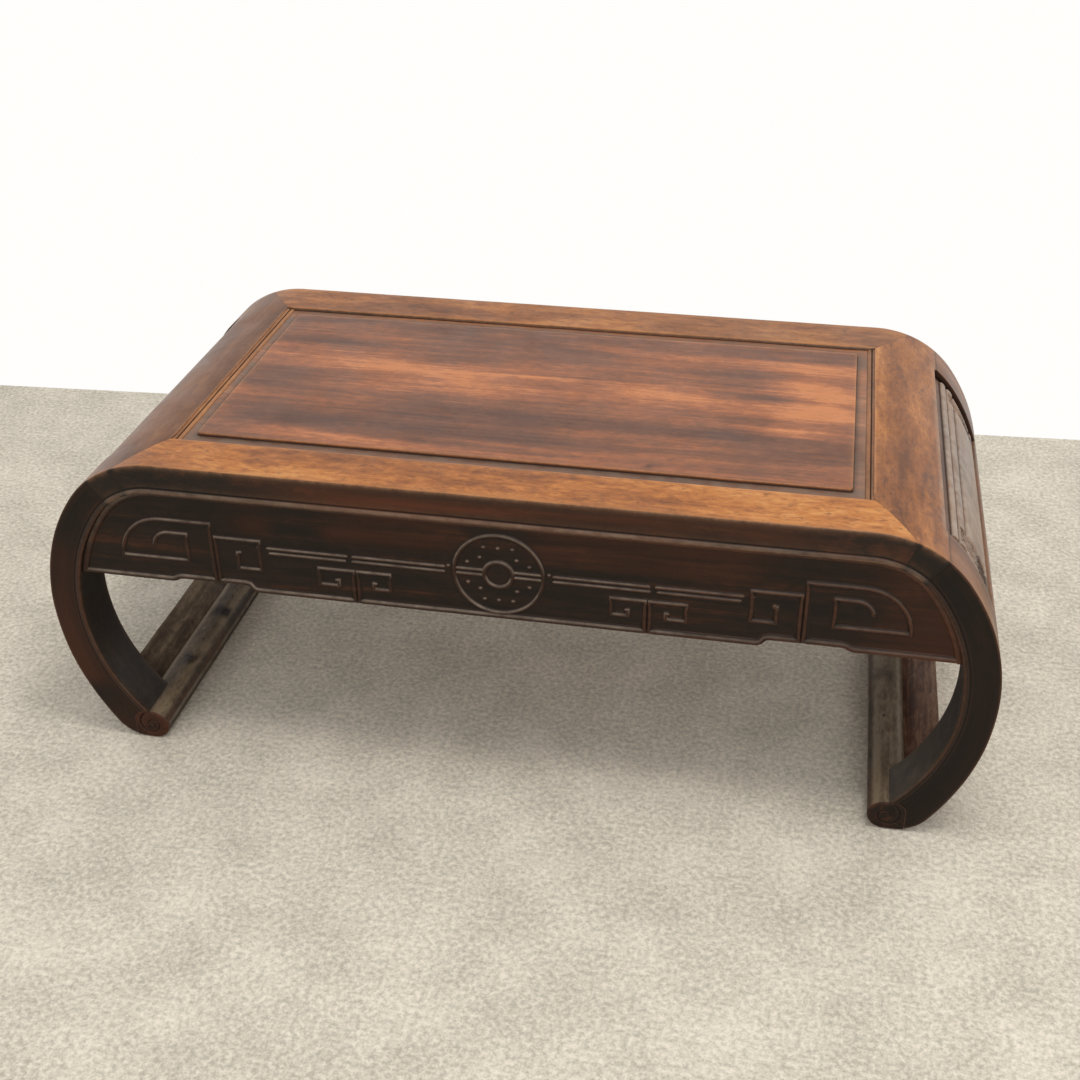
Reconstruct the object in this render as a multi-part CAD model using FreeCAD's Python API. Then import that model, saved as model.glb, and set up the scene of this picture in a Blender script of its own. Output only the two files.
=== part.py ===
import FreeCAD, Part
import math
import os
from FreeCAD import Vector

# Low kang table: a framed panel whose ends sweep down in a C to scrolled feet.
# Lengths are in millimetres and angles in degrees. X runs along the table, Y from its
# front to its back and Z up. The origin lies on the floor under the middle of the top.

# Whole table
length = 850.0                  # over the widest part of the side curves
depth = 412.0                   # over the faces of the long rails
height = 305.0
widest_height = 148.0           # where the side curves stand upright

# Outer face of the side curve
shoulder_run = 119.0            # from the flat top out to the widest point
shoulder_angle = 53.0           # lean at which the tight arc meets the long one
foot_run = 71.0                 # from the widest point in to the flat of the foot
foot_angle = 55.0

# Inner face of the side curve
rail_height = 27.5
stile_width = 30.5
inner_shoulder_run = 87.0
inner_foot_radius = 174.0

# Where the pieces of the side curve meet, as lean from the vertical
mitre_angle = 21.5
seam_angle = 38.0               # end rail to legs and end panel
panel_foot_angle = 72.0         # end panel to lower end rail
lower_rail_angle = 80.5         # lower edge of the lower end rail
board_angle = 60.8              # outer edge of the foot board

# Top frame
long_rail_width = 55.4
strip_width = 9.0               # sunk strip along the end rail's inner edge
strip_drop = 1.0
mitre_tenon_length = 12.0
mitre_tenon_width = 12.0
mitre_tenon_height = 8.0

# Raised bead along the inner edge of the frame's faces
bead_width = 5.0
face_sink = 1.2

# Top panel
panel_thickness = 11.0
panel_drop = 3.0                # sunk border below the frame
field_drop = 0.4                # raised field below the frame
field_end_border = 8.0
field_side_border = 13.1
field_corner_radius = 4.0
panel_tongue_length = 7.0
panel_tongue_height = 6.0
panel_tongue_drop = 6.0         # top of the tongue below the frame

# Battens under the panel
batten_count = 3
batten_spacing = 190.0
batten_width = 32.0
batten_height = 20.0
dovetail_height = 3.0
dovetail_flare = 1.8
batten_tenon_length = 12.0
batten_tenon_width = 22.0
batten_tenon_height = 7.0

# Legs
leg_depth = 48.0
leg_tenon_length = 16.0
leg_tenon_width = 28.0
leg_tenon_height = 8.0
foot_tenon_length = 14.0
foot_tenon_width = 24.0

# Aprons
apron_recess = 7.0
apron_thickness = 13.0
apron_height = 96.2             # from the frame's underside to the lower edge at the middle
apron_step = 6.8                # rise of the lower edge between the two cusps
apron_end_rise = 3.2
inner_cusp_share = 0.527        # of half the table's length
outer_cusp_share = 0.706
cusp_run = 6.0
apron_tongue_length = 6.0
apron_tongue_width = 6.0
apron_rim = 5.0
apron_lip = 4.6

# Carved lines on the aprons. The tables are shares of the apron's height, counted from
# the stem's foot. A pair is a corner, and a triple is the end of a quarter turn with its radius.
carving_width = 3.2
carving_rise = 1.6
carving_root = 1.0              # how far a line is rooted in the board
stem_pitch = 4.4                # between the two stems of a pair
outer_stems_share = 0.607       # of half the table's length
inner_stems_share = 0.3024
quarter_scroll_shares = [(0, 0.614), (0.47, 0.614), (0.891, 0.193, 0.421), (0.242, 0.193), (0.242, 0.477),
                         (0.415, 0.477), (0.565, 0.327, 0.15)]
square_scroll_shares = [(0, 0.477), (-0.42, 0.477), (-0.42, 0.169), (-0.206, 0.169), (-0.206, 0.33),
                        (-0.235, 0.33)]
outer_arm_shares = [(0, 0.326), (0.317, 0.326), (0.317, 0.156), (0.143, 0.156), (0.143, 0.214), (0.18, 0.214)]
inner_arm_shares = [(0, 0.326), (-0.298, 0.326), (-0.298, 0.156), (-0.15, 0.156), (-0.15, 0.214),
                    (-0.185, 0.214)]
band_rise_shares = (0.447, 0.498)
band_start_share = 0.48         # of the apron's height, from the middle
band_end_share = 0.497          # of half the table's length

# Medallion in the middle of each apron
medallion_radius = 40.4
medallion_rise = 44.9           # of its middle above the lower edge
medallion_rim = 2.4
medallion_core_radius = 13.8
medallion_core_rim = 3.0
medallion_hub_radius = 8.6
medallion_bar_pitch = 4.4
boss_radius = 1.9
boss_place_shares = [(0, 0.65), (0.31, 0.65), (0.4, 0.39), (0.67, 0.255)]

# End panels and lower end rails
end_panel_drop = 3.0
end_panel_thickness = 10.0
end_field_rise = 1.8
end_field_width = 200.0
end_field_top_angle = 54.0
end_field_foot_angle = 67.0
end_tongue_length = 6.0
end_tongue_thickness = 5.0
lower_rail_thickness = 22.0
lower_tenon_length = 10.0
lower_tenon_thickness = 9.0
lower_tenon_angle = 5.0         # height of the tenon, as lean

# Foot bars, boards and pegs
bar_width = 32.8
bar_height = 30.6
bar_round = 10.0                # outer upper edge of the bar
eye_radius = 6.0
eye_groove = 1.6
board_inner_height = 17.0
board_tongue_length = 24.0
board_tongue_height = 7.0
board_tongue_base = 8.0
board_tenon_length = 9.0
board_tenon_width = 8.0
board_tenon_inset = 2.5
peg_count = 3
peg_spacing = 80.0
peg_radius = 3.2
peg_base = 5.0

# Fits and cuts
fit = 0.15                      # clearance round tongues, tenons and pegs
overrun = 5.0                   # how far a cut runs past the solid
same_point = 0.001              # corners nearer than this are one corner

# Worked out
half_length = length / 2
half_depth = depth / 2
underside = height - rail_height
flat_x = half_length - shoulder_run
opening_x = flat_x - strip_width
opening_y = half_depth - long_rail_width
inner_side_x = half_length - stile_width
foot_flat_x = half_length - foot_run
bar_outer_x = foot_flat_x + bar_round
bar_inner_x = bar_outer_x - bar_width
roll_x = bar_inner_x + bar_height / 2
leg_inner_y = half_depth - leg_depth
leg_middle_y = half_depth - leg_depth / 2
apron_bottom = underside - apron_height
medallion_z = apron_bottom + medallion_rise
apron_face_y = half_depth - apron_recess
apron_tongue_y = apron_face_y - (apron_thickness - apron_tongue_width) / 2


class Curve:
    """Two tangent arcs that turn from level, at the first point, to upright, at the second."""

    def __init__(self, level_x, level_z, side_x, side_z, turn):
        self.way = 1 if level_z > side_z else -1
        self.turn = turn
        sine = math.sin(math.radians(turn))
        cosine = math.cos(math.radians(turn))
        run = side_x - level_x
        rise = abs(level_z - side_z)
        spread = sine * cosine - (1 - sine) * (1 - cosine)
        self.level_radius = (run * cosine - rise * (1 - sine)) / spread
        self.side_radius = (rise * sine - run * (1 - cosine)) / spread
        self.level_centre = (level_x, level_z - self.way * self.level_radius)
        self.side_centre = (side_x - self.side_radius, side_z)

    def point(self, lean, offset=0):
        """The point at a lean from the vertical, on the curve moved out by offset."""
        if lean <= self.turn:
            centre, radius = self.level_centre, self.level_radius + offset
        else:
            centre, radius = self.side_centre, self.side_radius + offset
        angle = math.radians(lean)
        return centre[0] + radius * math.sin(angle), centre[1] + self.way * radius * math.cos(angle)

    def arcs(self, start, end, offset=0):
        """Moves along the curve from one lean to another."""
        stops = [start, end]
        if min(stops) < self.turn < max(stops):
            stops.insert(1, self.turn)
        return [self.point((a + b) / 2, offset) + self.point(b, offset) for a, b in zip(stops, stops[1:])]

    def lean_at(self, x):
        """The lean on the level arc at a distance x from the middle."""
        return math.degrees(math.asin((x - self.level_centre[0]) / self.level_radius))


outer_top = Curve(flat_x, height, half_length, widest_height, shoulder_angle)
outer_foot = Curve(foot_flat_x, 0, half_length, widest_height, foot_angle)
inner_top = Curve(inner_side_x - inner_shoulder_run, underside, inner_side_x, widest_height, shoulder_angle)
bar_lean = outer_foot.lean_at(bar_outer_x)


def section(start, moves):
    """A face in the XZ plane: a move of two numbers is a line, and one of four an arc."""
    edges = []
    here = Vector(start[0], 0, start[1])
    for move in list(moves) + [start]:
        there = Vector(move[-2], 0, move[-1])
        if here.isEqual(there, same_point):
            continue
        if len(move) == 4:
            edges.append(Part.Arc(here, Vector(move[0], 0, move[1]), there).toShape())
        else:
            edges.append(Part.makeLine(here, there))
        here = there
    return Part.Face(Part.Wire(edges))


def symmetric_section(start, moves):
    """A face mirrored about the middle, from moves that lead from the middle back to it."""
    corners = [start] + [move[-2:] for move in moves]
    left = []
    for move, corner in zip(reversed(moves), reversed(corners[:-1])):
        middle = (-move[0], move[1]) if len(move) == 4 else ()
        left.append(middle + (-corner[0], corner[1]))
    return section(start, list(moves) + left)


def slab(face, y0, y1):
    """The solid that a section sweeps from y0 to y1."""
    face = face.copy()
    face.translate(Vector(0, y0, 0))
    return face.extrude(Vector(0, y1 - y0, 0))


def block(x0, x1, y0, y1, z0, z1):
    """A box between two corners."""
    return Part.makeBox(x1 - x0, y1 - y0, z1 - z0, Vector(x0, y0, z0))


def mirror_x(shape):
    return shape.mirror(Vector(0, 0, 0), Vector(1, 0, 0))


def mirror_y(shape):
    return shape.mirror(Vector(0, 0, 0), Vector(0, 1, 0))


def four_ways(shape):
    """A shape at the front right corner and its copies at the other three."""
    right = [shape, mirror_y(shape)]
    return right + [mirror_x(one) for one in right]


def inside(offset):
    """Everything inside the frame's inner curve, moved into the frame by offset."""
    radius = inner_foot_radius + offset
    centre_x = inner_side_x - inner_foot_radius
    drop = widest_height - bar_height
    end_x = centre_x + math.sqrt(radius ** 2 - drop ** 2)
    lean = math.atan2(drop, end_x - centre_x) / 2
    middle = (centre_x + radius * math.cos(lean), widest_height - radius * math.sin(lean))
    level = inner_top.point(0, offset)
    moves = [level] + inner_top.arcs(0, 90, offset) + [middle + (end_x, bar_height), (0, bar_height)]
    return symmetric_section((0, level[1]), moves)


def side_region():
    """The right-hand C, from the flat top to the flat of the foot, out of which its pieces are cut."""
    top = outer_top.arcs(0, 90)
    foot = outer_foot.arcs(90, 0)
    outline = section((0, height), [(flat_x, height)] + top + foot + [(0, 0)])
    return outline.cut(inside(0))


def seam_region():
    """The part of the XZ plane above the seam between the end rail and the leg."""
    centre_x, centre_z = outer_top.level_centre
    lean = math.radians(seam_angle)
    reach = height
    far = (centre_x + reach * math.sin(lean), centre_z + reach * math.cos(lean))
    return section((0, centre_z), [(centre_x, centre_z), far, (0, far[1])])


def ring_part(start, end, out, thickness):
    """A strip of the side curve between two leans, from an offset inwards by a thickness."""
    moves = outer_top.arcs(start, end, out) + [outer_top.point(end, out - thickness)]
    moves += outer_top.arcs(end, start, out - thickness)
    return section(outer_top.point(start, out), moves)


def mitre_wedge():
    """The room of the front long rail, between its two slanted mitres."""
    slope = math.tan(math.radians(mitre_angle))
    front_x, front_z = outer_top.point(mitre_angle)
    low, rise = underside - overrun, rail_height + 2 * overrun
    inner = flat_x - (height - low) * slope
    outer = front_x - (front_z - low) * slope
    far_x = inner + (outer - inner) * (1 + overrun / long_rail_width)
    far_y = -half_depth - overrun
    corners = [(-half_length, -opening_y), (inner, -opening_y), (far_x, far_y), (-half_length, far_y)]
    base = Part.Face(Part.makePolygon([Vector(x, y, low) for x, y in corners + corners[:1]]))
    right = base.extrude(Vector(rise * slope, 0, rise))
    return right.common(mirror_x(right))


def top_section():
    """The whole top's section, out to the tight arcs' ends."""
    moves = [(flat_x, height)] + outer_top.arcs(0, shoulder_angle) + [inner_top.point(shoulder_angle)]
    moves += inner_top.arcs(shoulder_angle, 0) + [(0, underside)]
    return symmetric_section((0, height), moves)


def face_sinks():
    """Cuts that lower the front and back faces but for the bead at their inner edge."""
    frame = section((-half_length - overrun, 0), [(half_length + overrun, 0),
                    (half_length + overrun, height + overrun), (-half_length - overrun, height + overrun)])
    sink = slab(frame.cut(inside(bead_width)), -half_depth - overrun, -half_depth + face_sink)
    return [sink, mirror_y(sink)]


def apron_tongue(gap):
    """The tongue of the front apron, or its groove when there is a gap."""
    outline = inside(apron_tongue_length + gap)
    lowest = section((-half_length, apron_bottom - gap), [(half_length, apron_bottom - gap),
                     (half_length, height), (-half_length, height)])
    return slab(outline.common(lowest), -apron_tongue_y - gap, -apron_tongue_y + apron_tongue_width + gap)


def panel_tongue(gap):
    """The top panel's tongue on all four sides, or its groove when there is a gap."""
    x = opening_x + panel_tongue_length + gap
    y = opening_y + panel_tongue_length + gap
    top = height - panel_tongue_drop + gap
    return block(-x, x, -y, y, top - panel_tongue_height - 2 * gap, top)


def end_panel_tongue(gap):
    """The right end panel's tongue on all four sides, or its groove when there is a gap."""
    spread = math.degrees((end_tongue_length + gap) / outer_top.level_radius)
    foot_spread = math.degrees((end_tongue_length + gap) / outer_top.side_radius)
    out = -end_panel_drop - (end_panel_thickness - end_tongue_thickness) / 2 + gap
    face = ring_part(seam_angle - spread, panel_foot_angle + foot_spread, out, end_tongue_thickness + 2 * gap)
    y = leg_inner_y + end_tongue_length + gap
    return slab(face, -y, y)


def batten_places():
    """The middle of each batten along the table."""
    return [batten_spacing * (i - (batten_count - 1) / 2) for i in range(batten_count)]


def batten_tenon(x, gap):
    """The tenons at both ends of a batten, or their mortises when there is a gap."""
    top = height - panel_drop - panel_thickness
    half = batten_tenon_width / 2 + gap
    y = opening_y + batten_tenon_length + gap
    return block(x - half, x + half, -y, y, top - batten_tenon_height - gap, top + gap)


def dovetail(x, gap):
    """The dovetail ridge along a batten, or its slot when there is a gap."""
    base = height - panel_drop - panel_thickness
    foot = batten_tenon_width / 2 + gap
    head = foot + dovetail_flare
    top = base + dovetail_height + gap
    face = section((x - foot, base - gap), [(x + foot, base - gap), (x + head, top), (x - head, top)])
    return slab(face, -opening_y + fit, opening_y - fit)


def mitre_tenon(gap):
    """The tenon across the front right mitre, or its mortise when there is a gap."""
    middle_y = -opening_y - long_rail_width / 2
    middle_z = height - rail_height / 2
    x = (flat_x + outer_top.point(mitre_angle)[0]) / 2
    width = mitre_tenon_width / 2 + gap
    rise = mitre_tenon_height / 2 + gap
    return block(x - mitre_tenon_length, x + mitre_tenon_length + gap, middle_y - width, middle_y + width,
                 middle_z - rise, middle_z + rise)


def leg_top_tenon(gap):
    """The front right leg's tenon up into the end rail, or its mortise when there is a gap."""
    centre_x, centre_z = outer_top.level_centre
    lean = math.radians(seam_angle)
    along = (-math.cos(lean), math.sin(lean))
    middle = outer_top.level_radius - rail_height / 2
    rise = leg_tenon_height / 2 + gap
    corners = []
    for radius, reach in ((middle - rise, -overrun), (middle + rise, -overrun),
                          (middle + rise, leg_tenon_length + gap), (middle - rise, leg_tenon_length + gap)):
        corners.append((centre_x + radius * math.sin(lean) + reach * along[0],
                        centre_z + radius * math.cos(lean) + reach * along[1]))
    width = leg_tenon_width / 2 + gap
    return slab(section(corners[0], corners[1:]), -leg_middle_y - width, -leg_middle_y + width)


def foot_tenon(gap):
    """The front right leg's tenon into the foot bar, or its mortise when there is a gap."""
    width = foot_tenon_width / 2 + gap
    base = board_tongue_base - gap
    return block(bar_outer_x - foot_tenon_length - gap, bar_outer_x + overrun, -leg_middle_y - width,
                 -leg_middle_y + width, base, base + board_tongue_height + 2 * gap)


def lower_tenon(gap):
    """The lower end rail's tenons into both right legs, or their mortises when there is a gap."""
    spread = math.degrees(gap / outer_top.side_radius)
    middle = (panel_foot_angle + lower_rail_angle) / 2
    start = middle - lower_tenon_angle / 2 - spread
    out = -(lower_rail_thickness - lower_tenon_thickness) / 2 + gap
    face = ring_part(start, start + lower_tenon_angle + 2 * spread, out, lower_tenon_thickness + 2 * gap)
    y = leg_inner_y + lower_tenon_length + gap
    return slab(face, -y, y)


def board_tenon(gap):
    """The foot board's tenons into both right legs, or their mortises when there is a gap."""
    x = bar_outer_x + board_tenon_inset
    base = board_tongue_base - gap
    y = leg_inner_y + board_tenon_length + gap
    return block(x - gap, x + board_tenon_width + gap, -y, y, base, base + board_tongue_height + 2 * gap)


def board_tongue(gap):
    """The foot board's tongue into the right foot bar, or its groove when there is a gap."""
    base = board_tongue_base - gap
    return block(bar_outer_x - board_tongue_length - gap, bar_outer_x + overrun, -leg_inner_y, leg_inner_y,
                 base, base + board_tongue_height + 2 * gap)


def bar_section():
    """The foot bar: a round roll inwards, a flat foot and an upright outer side."""
    low = outer_foot.point(bar_lean)
    slant = math.sqrt(0.5) * bar_round
    round_z = bar_height - bar_round
    moves = [(bar_outer_x, round_z), (foot_flat_x + slant, round_z + slant, foot_flat_x, bar_height),
             (roll_x, bar_height), (bar_inner_x, bar_height / 2, roll_x, 0), (foot_flat_x, 0)]
    return section(low, moves + outer_foot.arcs(0, bar_lean))


def peg(y, gap):
    """A peg down through the right foot bar, or its hole when there is a gap."""
    top = bar_height + (overrun if gap else 0)
    return Part.makeCylinder(peg_radius + gap, top - peg_base, Vector(roll_x, y, peg_base))


def peg_places():
    return [peg_spacing * (i - (peg_count - 1) / 2) for i in range(peg_count)]


def make_long_rail():
    """The front long rail, with its mitres, tenons and grooves."""
    rail = slab(top_section(), -half_depth, -opening_y).common(mitre_wedge())
    tenon = mitre_tenon(0)
    rail = rail.fuse([tenon, mirror_x(tenon)])
    cuts = face_sinks() + [apron_tongue(fit), panel_tongue(fit)]
    cuts += [batten_tenon(x, fit) for x in batten_places()]
    return rail.cut(cuts).removeSplitter()


def make_end_rail():
    """The right end rail, full depth, from the opening round to the seam."""
    face = top_section().common(seam_region()).common(rectangle(opening_x, half_length, 0, height))
    rail = slab(face, -half_depth, half_depth)
    wedge = mitre_wedge()
    strip = block(opening_x - overrun, flat_x, -opening_y, opening_y, height - strip_drop, height + overrun)
    cuts = face_sinks() + [wedge, mirror_y(wedge), strip, panel_tongue(fit), end_panel_tongue(fit)]
    for one in (mitre_tenon(fit), leg_top_tenon(fit), apron_tongue(fit)):
        cuts += [one, mirror_y(one)]
    return rail.cut(cuts).removeSplitter()


def make_leg():
    """The front right leg, from the seam down to the foot bar."""
    leg = slab(side_region(), -half_depth, -leg_inner_y)
    away = [slab(face, -half_depth, half_depth) for face in (seam_region(), bar_section())]
    away.append(block(0, foot_flat_x, -half_depth, half_depth, 0, bar_height))
    leg = leg.cut(away + face_sinks() + [apron_tongue(fit)])
    leg = leg.fuse([leg_top_tenon(0), foot_tenon(0)])
    return leg.cut([end_panel_tongue(fit), lower_tenon(fit), board_tenon(fit)]).removeSplitter()


def make_top_panel():
    """The panel: a board with a tongue all round, a sunk border and a raised field."""
    x, y = opening_x - fit, opening_y - fit
    top = height - panel_drop
    board = block(-x, x, -y, y, top - panel_thickness, top)
    field_x, field_y = opening_x - field_end_border, opening_y - field_side_border
    field = block(-field_x, field_x, -field_y, field_y, top - panel_drop, height - field_drop)
    upright = [edge for edge in field.Edges if abs(edge.Vertexes[0].Z - edge.Vertexes[1].Z) > panel_drop / 2]
    field = field.makeFillet(field_corner_radius, upright)
    panel = board.fuse([panel_tongue(0), field])
    return panel.cut([dovetail(place, fit) for place in batten_places()]).removeSplitter()


def make_batten(x):
    """A batten under the panel, dovetailed to it and tenoned into the long rails."""
    top = height - panel_drop - panel_thickness
    half = batten_width / 2
    bar = block(x - half, x + half, -opening_y, opening_y, top - batten_height, top)
    return bar.fuse([batten_tenon(x, 0), dovetail(x, 0)]).removeSplitter()


def raised(face):
    """A carved form on the front apron, rooted in its board."""
    return slab(face, -apron_face_y - carving_rise, -apron_face_y + carving_root)


def raised_run(start, shares):
    """A raised line from a start point through a table of shares of the apron's height."""
    half = carving_width / 2
    pieces = []
    x0, z0 = start
    for share in shares:
        x1 = start[0] + share[0] * apron_height
        z1 = start[1] + share[1] * apron_height
        if len(share) == 3:
            radius = share[2] * apron_height
            pieces.append(raised(quarter_band(x0, z1, radius - half, radius + half)))
        else:
            low_x, high_x = min(x0, x1) - half, max(x0, x1) + half
            low_z, high_z = min(z0, z1) - half, max(z0, z1) + half
            pieces.append(raised(rectangle(low_x, high_x, low_z, high_z)))
        x0, z0 = x1, z1
    return pieces


def rectangle(x0, x1, z0, z1):
    return section((x0, z0), [(x1, z0), (x1, z1), (x0, z1)])


def quarter_band(x, z, inner, outer):
    """A quarter of a ring round a point, from straight up to level outwards."""
    slant = math.sqrt(0.5)
    moves = [(x + outer * slant, z + outer * slant, x + outer, z), (x + inner, z)]
    moves += [(x + inner * slant, z + inner * slant, x, z + inner)]
    return section((x, z + outer), moves)


def disc(x, z, radius):
    """A round face in the XZ plane."""
    circle = Part.makeCircle(radius, Vector(x, 0, z), Vector(0, 1, 0))
    return Part.Face(Part.Wire(circle))


def ring(radius, rim):
    """A ring round the medallion's middle."""
    return disc(0, medallion_z, radius).cut(disc(0, medallion_z, radius - rim))


def medallion():
    """Two rims, a hub, two pairs of bars and the bosses between them."""
    faces = [ring(medallion_radius, medallion_rim), ring(medallion_core_radius, medallion_core_rim),
             disc(0, medallion_z, medallion_hub_radius)]
    parts = [raised(face) for face in faces]
    half = carving_width / 4
    start = medallion_core_radius - medallion_core_rim / 2
    end = medallion_radius - medallion_rim / 2
    for side in (-1, 1):
        z = medallion_z + side * medallion_bar_pitch / 2
        for x0, x1 in ((start, end), (-end, -start)):
            parts.append(raised(rectangle(x0, x1, z - half, z + half)))
        for share_x, share_z in boss_place_shares:
            boss_z = medallion_z + side * share_z * medallion_radius
            for x in {share_x * medallion_radius, -share_x * medallion_radius}:
                parts.append(raised(disc(x, boss_z, boss_radius)))
    return parts


def lower_edge_moves(rise):
    """The apron's cusped lower edge from the middle out to its end, raised by rise."""
    low = apron_bottom + rise
    inner_x = inner_cusp_share * half_length
    outer_x = outer_cusp_share * half_length
    end_z = low + apron_end_rise
    return [(inner_x, low), (inner_x + cusp_run, low + apron_step), (outer_x - cusp_run, low + apron_step),
            (outer_x, end_z), (half_length, end_z)]


def apron_region(rise):
    """All that lies above the apron's lower edge raised by rise."""
    edge = lower_edge_moves(rise)
    moves = edge + [(half_length, height), (0, height)]
    return symmetric_section((0, apron_bottom + rise), moves)


def make_apron():
    """The front apron: a recessed board with a tongue, a rim, a lip and carved lines."""
    outline = inside(-fit).common(apron_region(0))
    board = slab(outline, -apron_face_y, -apron_face_y + apron_thickness)
    tongue = apron_tongue(0).common(slab(apron_region(0), -half_depth, 0))
    rim = outline.cut(inside(-apron_rim).common(apron_region(apron_lip)))
    pieces = [tongue, raised(rim)]
    right = []
    outer_x = outer_stems_share * half_length
    inner_x = inner_stems_share * half_length
    half_pitch = stem_pitch / 2
    outer_z = apron_bottom + apron_step + carving_width / 2
    inner_z = apron_bottom + carving_width / 2
    right += raised_run((outer_x + half_pitch, outer_z), quarter_scroll_shares)
    right += raised_run((outer_x - half_pitch, outer_z), square_scroll_shares)
    right += raised_run((inner_x + half_pitch, inner_z), outer_arm_shares)
    right += raised_run((inner_x - half_pitch, inner_z), inner_arm_shares)
    for share in band_rise_shares:
        z = apron_bottom + share * apron_height
        right.append(raised(rectangle(band_start_share * apron_height, band_end_share * half_length,
                                      z - carving_width / 2, z + carving_width / 2)))
    pieces += right + [mirror_x(one) for one in right] + medallion()
    return board.fuse(pieces).removeSplitter()


def make_end_panel():
    """The right end panel, curved, with a tongue all round and a raised field."""
    y = leg_inner_y - fit
    spread = math.degrees(fit / outer_top.level_radius)
    start, end = seam_angle + spread, panel_foot_angle - spread
    board = slab(ring_part(start, end, -end_panel_drop, end_panel_thickness), -y, y)
    field = ring_part(end_field_top_angle, end_field_foot_angle, end_field_rise - end_panel_drop,
                      end_panel_thickness / 2)
    half = end_field_width / 2
    return board.fuse([end_panel_tongue(0), slab(field, -half, half)]).removeSplitter()


def make_lower_rail():
    """The right lower end rail between the legs, under the end panel."""
    face = ring_part(panel_foot_angle, lower_rail_angle, 0, lower_rail_thickness)
    rail = slab(face, -leg_inner_y, leg_inner_y).fuse(lower_tenon(0))
    return rail.cut(end_panel_tongue(fit)).removeSplitter()


def make_foot_bar():
    """The right foot bar, full depth, that the table stands on."""
    bar = slab(bar_section(), -half_depth, half_depth)
    eye = disc(roll_x, bar_height / 2, eye_radius).cut(disc(roll_x, bar_height / 2, eye_radius - eye_groove))
    groove = slab(eye, -half_depth, -half_depth + eye_groove)
    cuts = [groove, mirror_y(groove), foot_tenon(fit), mirror_y(foot_tenon(fit)), board_tongue(fit)]
    cuts += [peg(y, fit) for y in peg_places()]
    return bar.cut(cuts).removeSplitter()


def make_foot_board():
    """The right foot board between the legs, tongued into the bar."""
    low = outer_foot.point(bar_lean)
    edge = outer_foot.point(board_angle)
    face = section(low, outer_foot.arcs(bar_lean, board_angle) + [(bar_outer_x, board_inner_height)])
    board = slab(face, -leg_inner_y, leg_inner_y)
    tongue = board_tongue(0).common(block(0, edge[0], -leg_inner_y + fit, leg_inner_y - fit, 0, height))
    board = board.fuse([tongue, board_tenon(0)])
    return board.cut([peg(y, fit) for y in peg_places()]).removeSplitter()


def save(name, shape):
    """Writes one piece, checked to be closed and whole."""
    solids = shape.Solids
    if not shape.isValid() or not solids:
        raise ValueError(name + " is not a sound solid")
    whole = solids[0] if len(solids) == 1 else Part.makeCompound(solids)
    whole.exportStep("parts/" + name + ".step")
    print(name, len(solids), "solid(s)", round(whole.Volume / 1000, 1), "cm3")


os.makedirs("parts", exist_ok=True)

front_rail = make_long_rail()
save("top_rail_front", front_rail)
save("top_rail_back", mirror_y(front_rail))
right_rail = make_end_rail()
save("end_rail_right", right_rail)
save("end_rail_left", mirror_x(right_rail))
save("top_panel", make_top_panel())
for place, side in zip(batten_places(), ("left", "centre", "right")):
    save("batten_" + side, make_batten(place))
corner_names = ("front_right", "back_right", "front_left", "back_left")
for side, leg in zip(corner_names, four_ways(make_leg())):
    save("leg_" + side, leg)
front_apron = make_apron()
save("apron_front", front_apron)
save("apron_back", mirror_y(front_apron))
for name, piece in (("end_panel", make_end_panel()), ("lower_end_rail", make_lower_rail()),
                    ("foot_bar", make_foot_bar()), ("foot_board", make_foot_board()),
                    ("foot_pegs", Part.makeCompound([peg(y, 0) for y in peg_places()]))):
    save(name + "_right", piece)
    save(name + "_left", mirror_x(piece))
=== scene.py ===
"""Looks of the kang table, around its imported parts. Shapes are worked out in millimetres."""
from itertools import product
from math import acos, asin, cos, degrees, dist, pi, radians, sin, sqrt, tan

import bmesh
import bpy
import numpy as np
from mathutils import Matrix, Vector


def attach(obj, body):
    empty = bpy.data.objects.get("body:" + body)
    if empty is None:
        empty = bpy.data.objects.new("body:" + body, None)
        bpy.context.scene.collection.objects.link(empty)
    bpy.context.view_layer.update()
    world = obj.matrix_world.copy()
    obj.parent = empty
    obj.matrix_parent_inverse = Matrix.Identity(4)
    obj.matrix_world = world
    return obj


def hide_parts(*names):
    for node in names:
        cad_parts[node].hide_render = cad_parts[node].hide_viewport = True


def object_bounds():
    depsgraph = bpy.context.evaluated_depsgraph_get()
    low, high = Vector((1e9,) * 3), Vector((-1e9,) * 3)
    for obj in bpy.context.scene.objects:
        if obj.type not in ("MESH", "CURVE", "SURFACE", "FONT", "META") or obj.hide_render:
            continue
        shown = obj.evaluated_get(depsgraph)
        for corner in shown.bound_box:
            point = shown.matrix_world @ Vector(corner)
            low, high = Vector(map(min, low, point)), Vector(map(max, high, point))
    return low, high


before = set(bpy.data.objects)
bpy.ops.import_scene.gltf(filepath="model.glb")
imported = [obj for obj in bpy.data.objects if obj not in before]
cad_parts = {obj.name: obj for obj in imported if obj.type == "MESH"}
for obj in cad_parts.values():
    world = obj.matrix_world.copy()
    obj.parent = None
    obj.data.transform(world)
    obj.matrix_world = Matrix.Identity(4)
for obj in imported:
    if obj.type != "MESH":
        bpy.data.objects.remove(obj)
cad_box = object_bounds()

MM = 0.001

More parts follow.
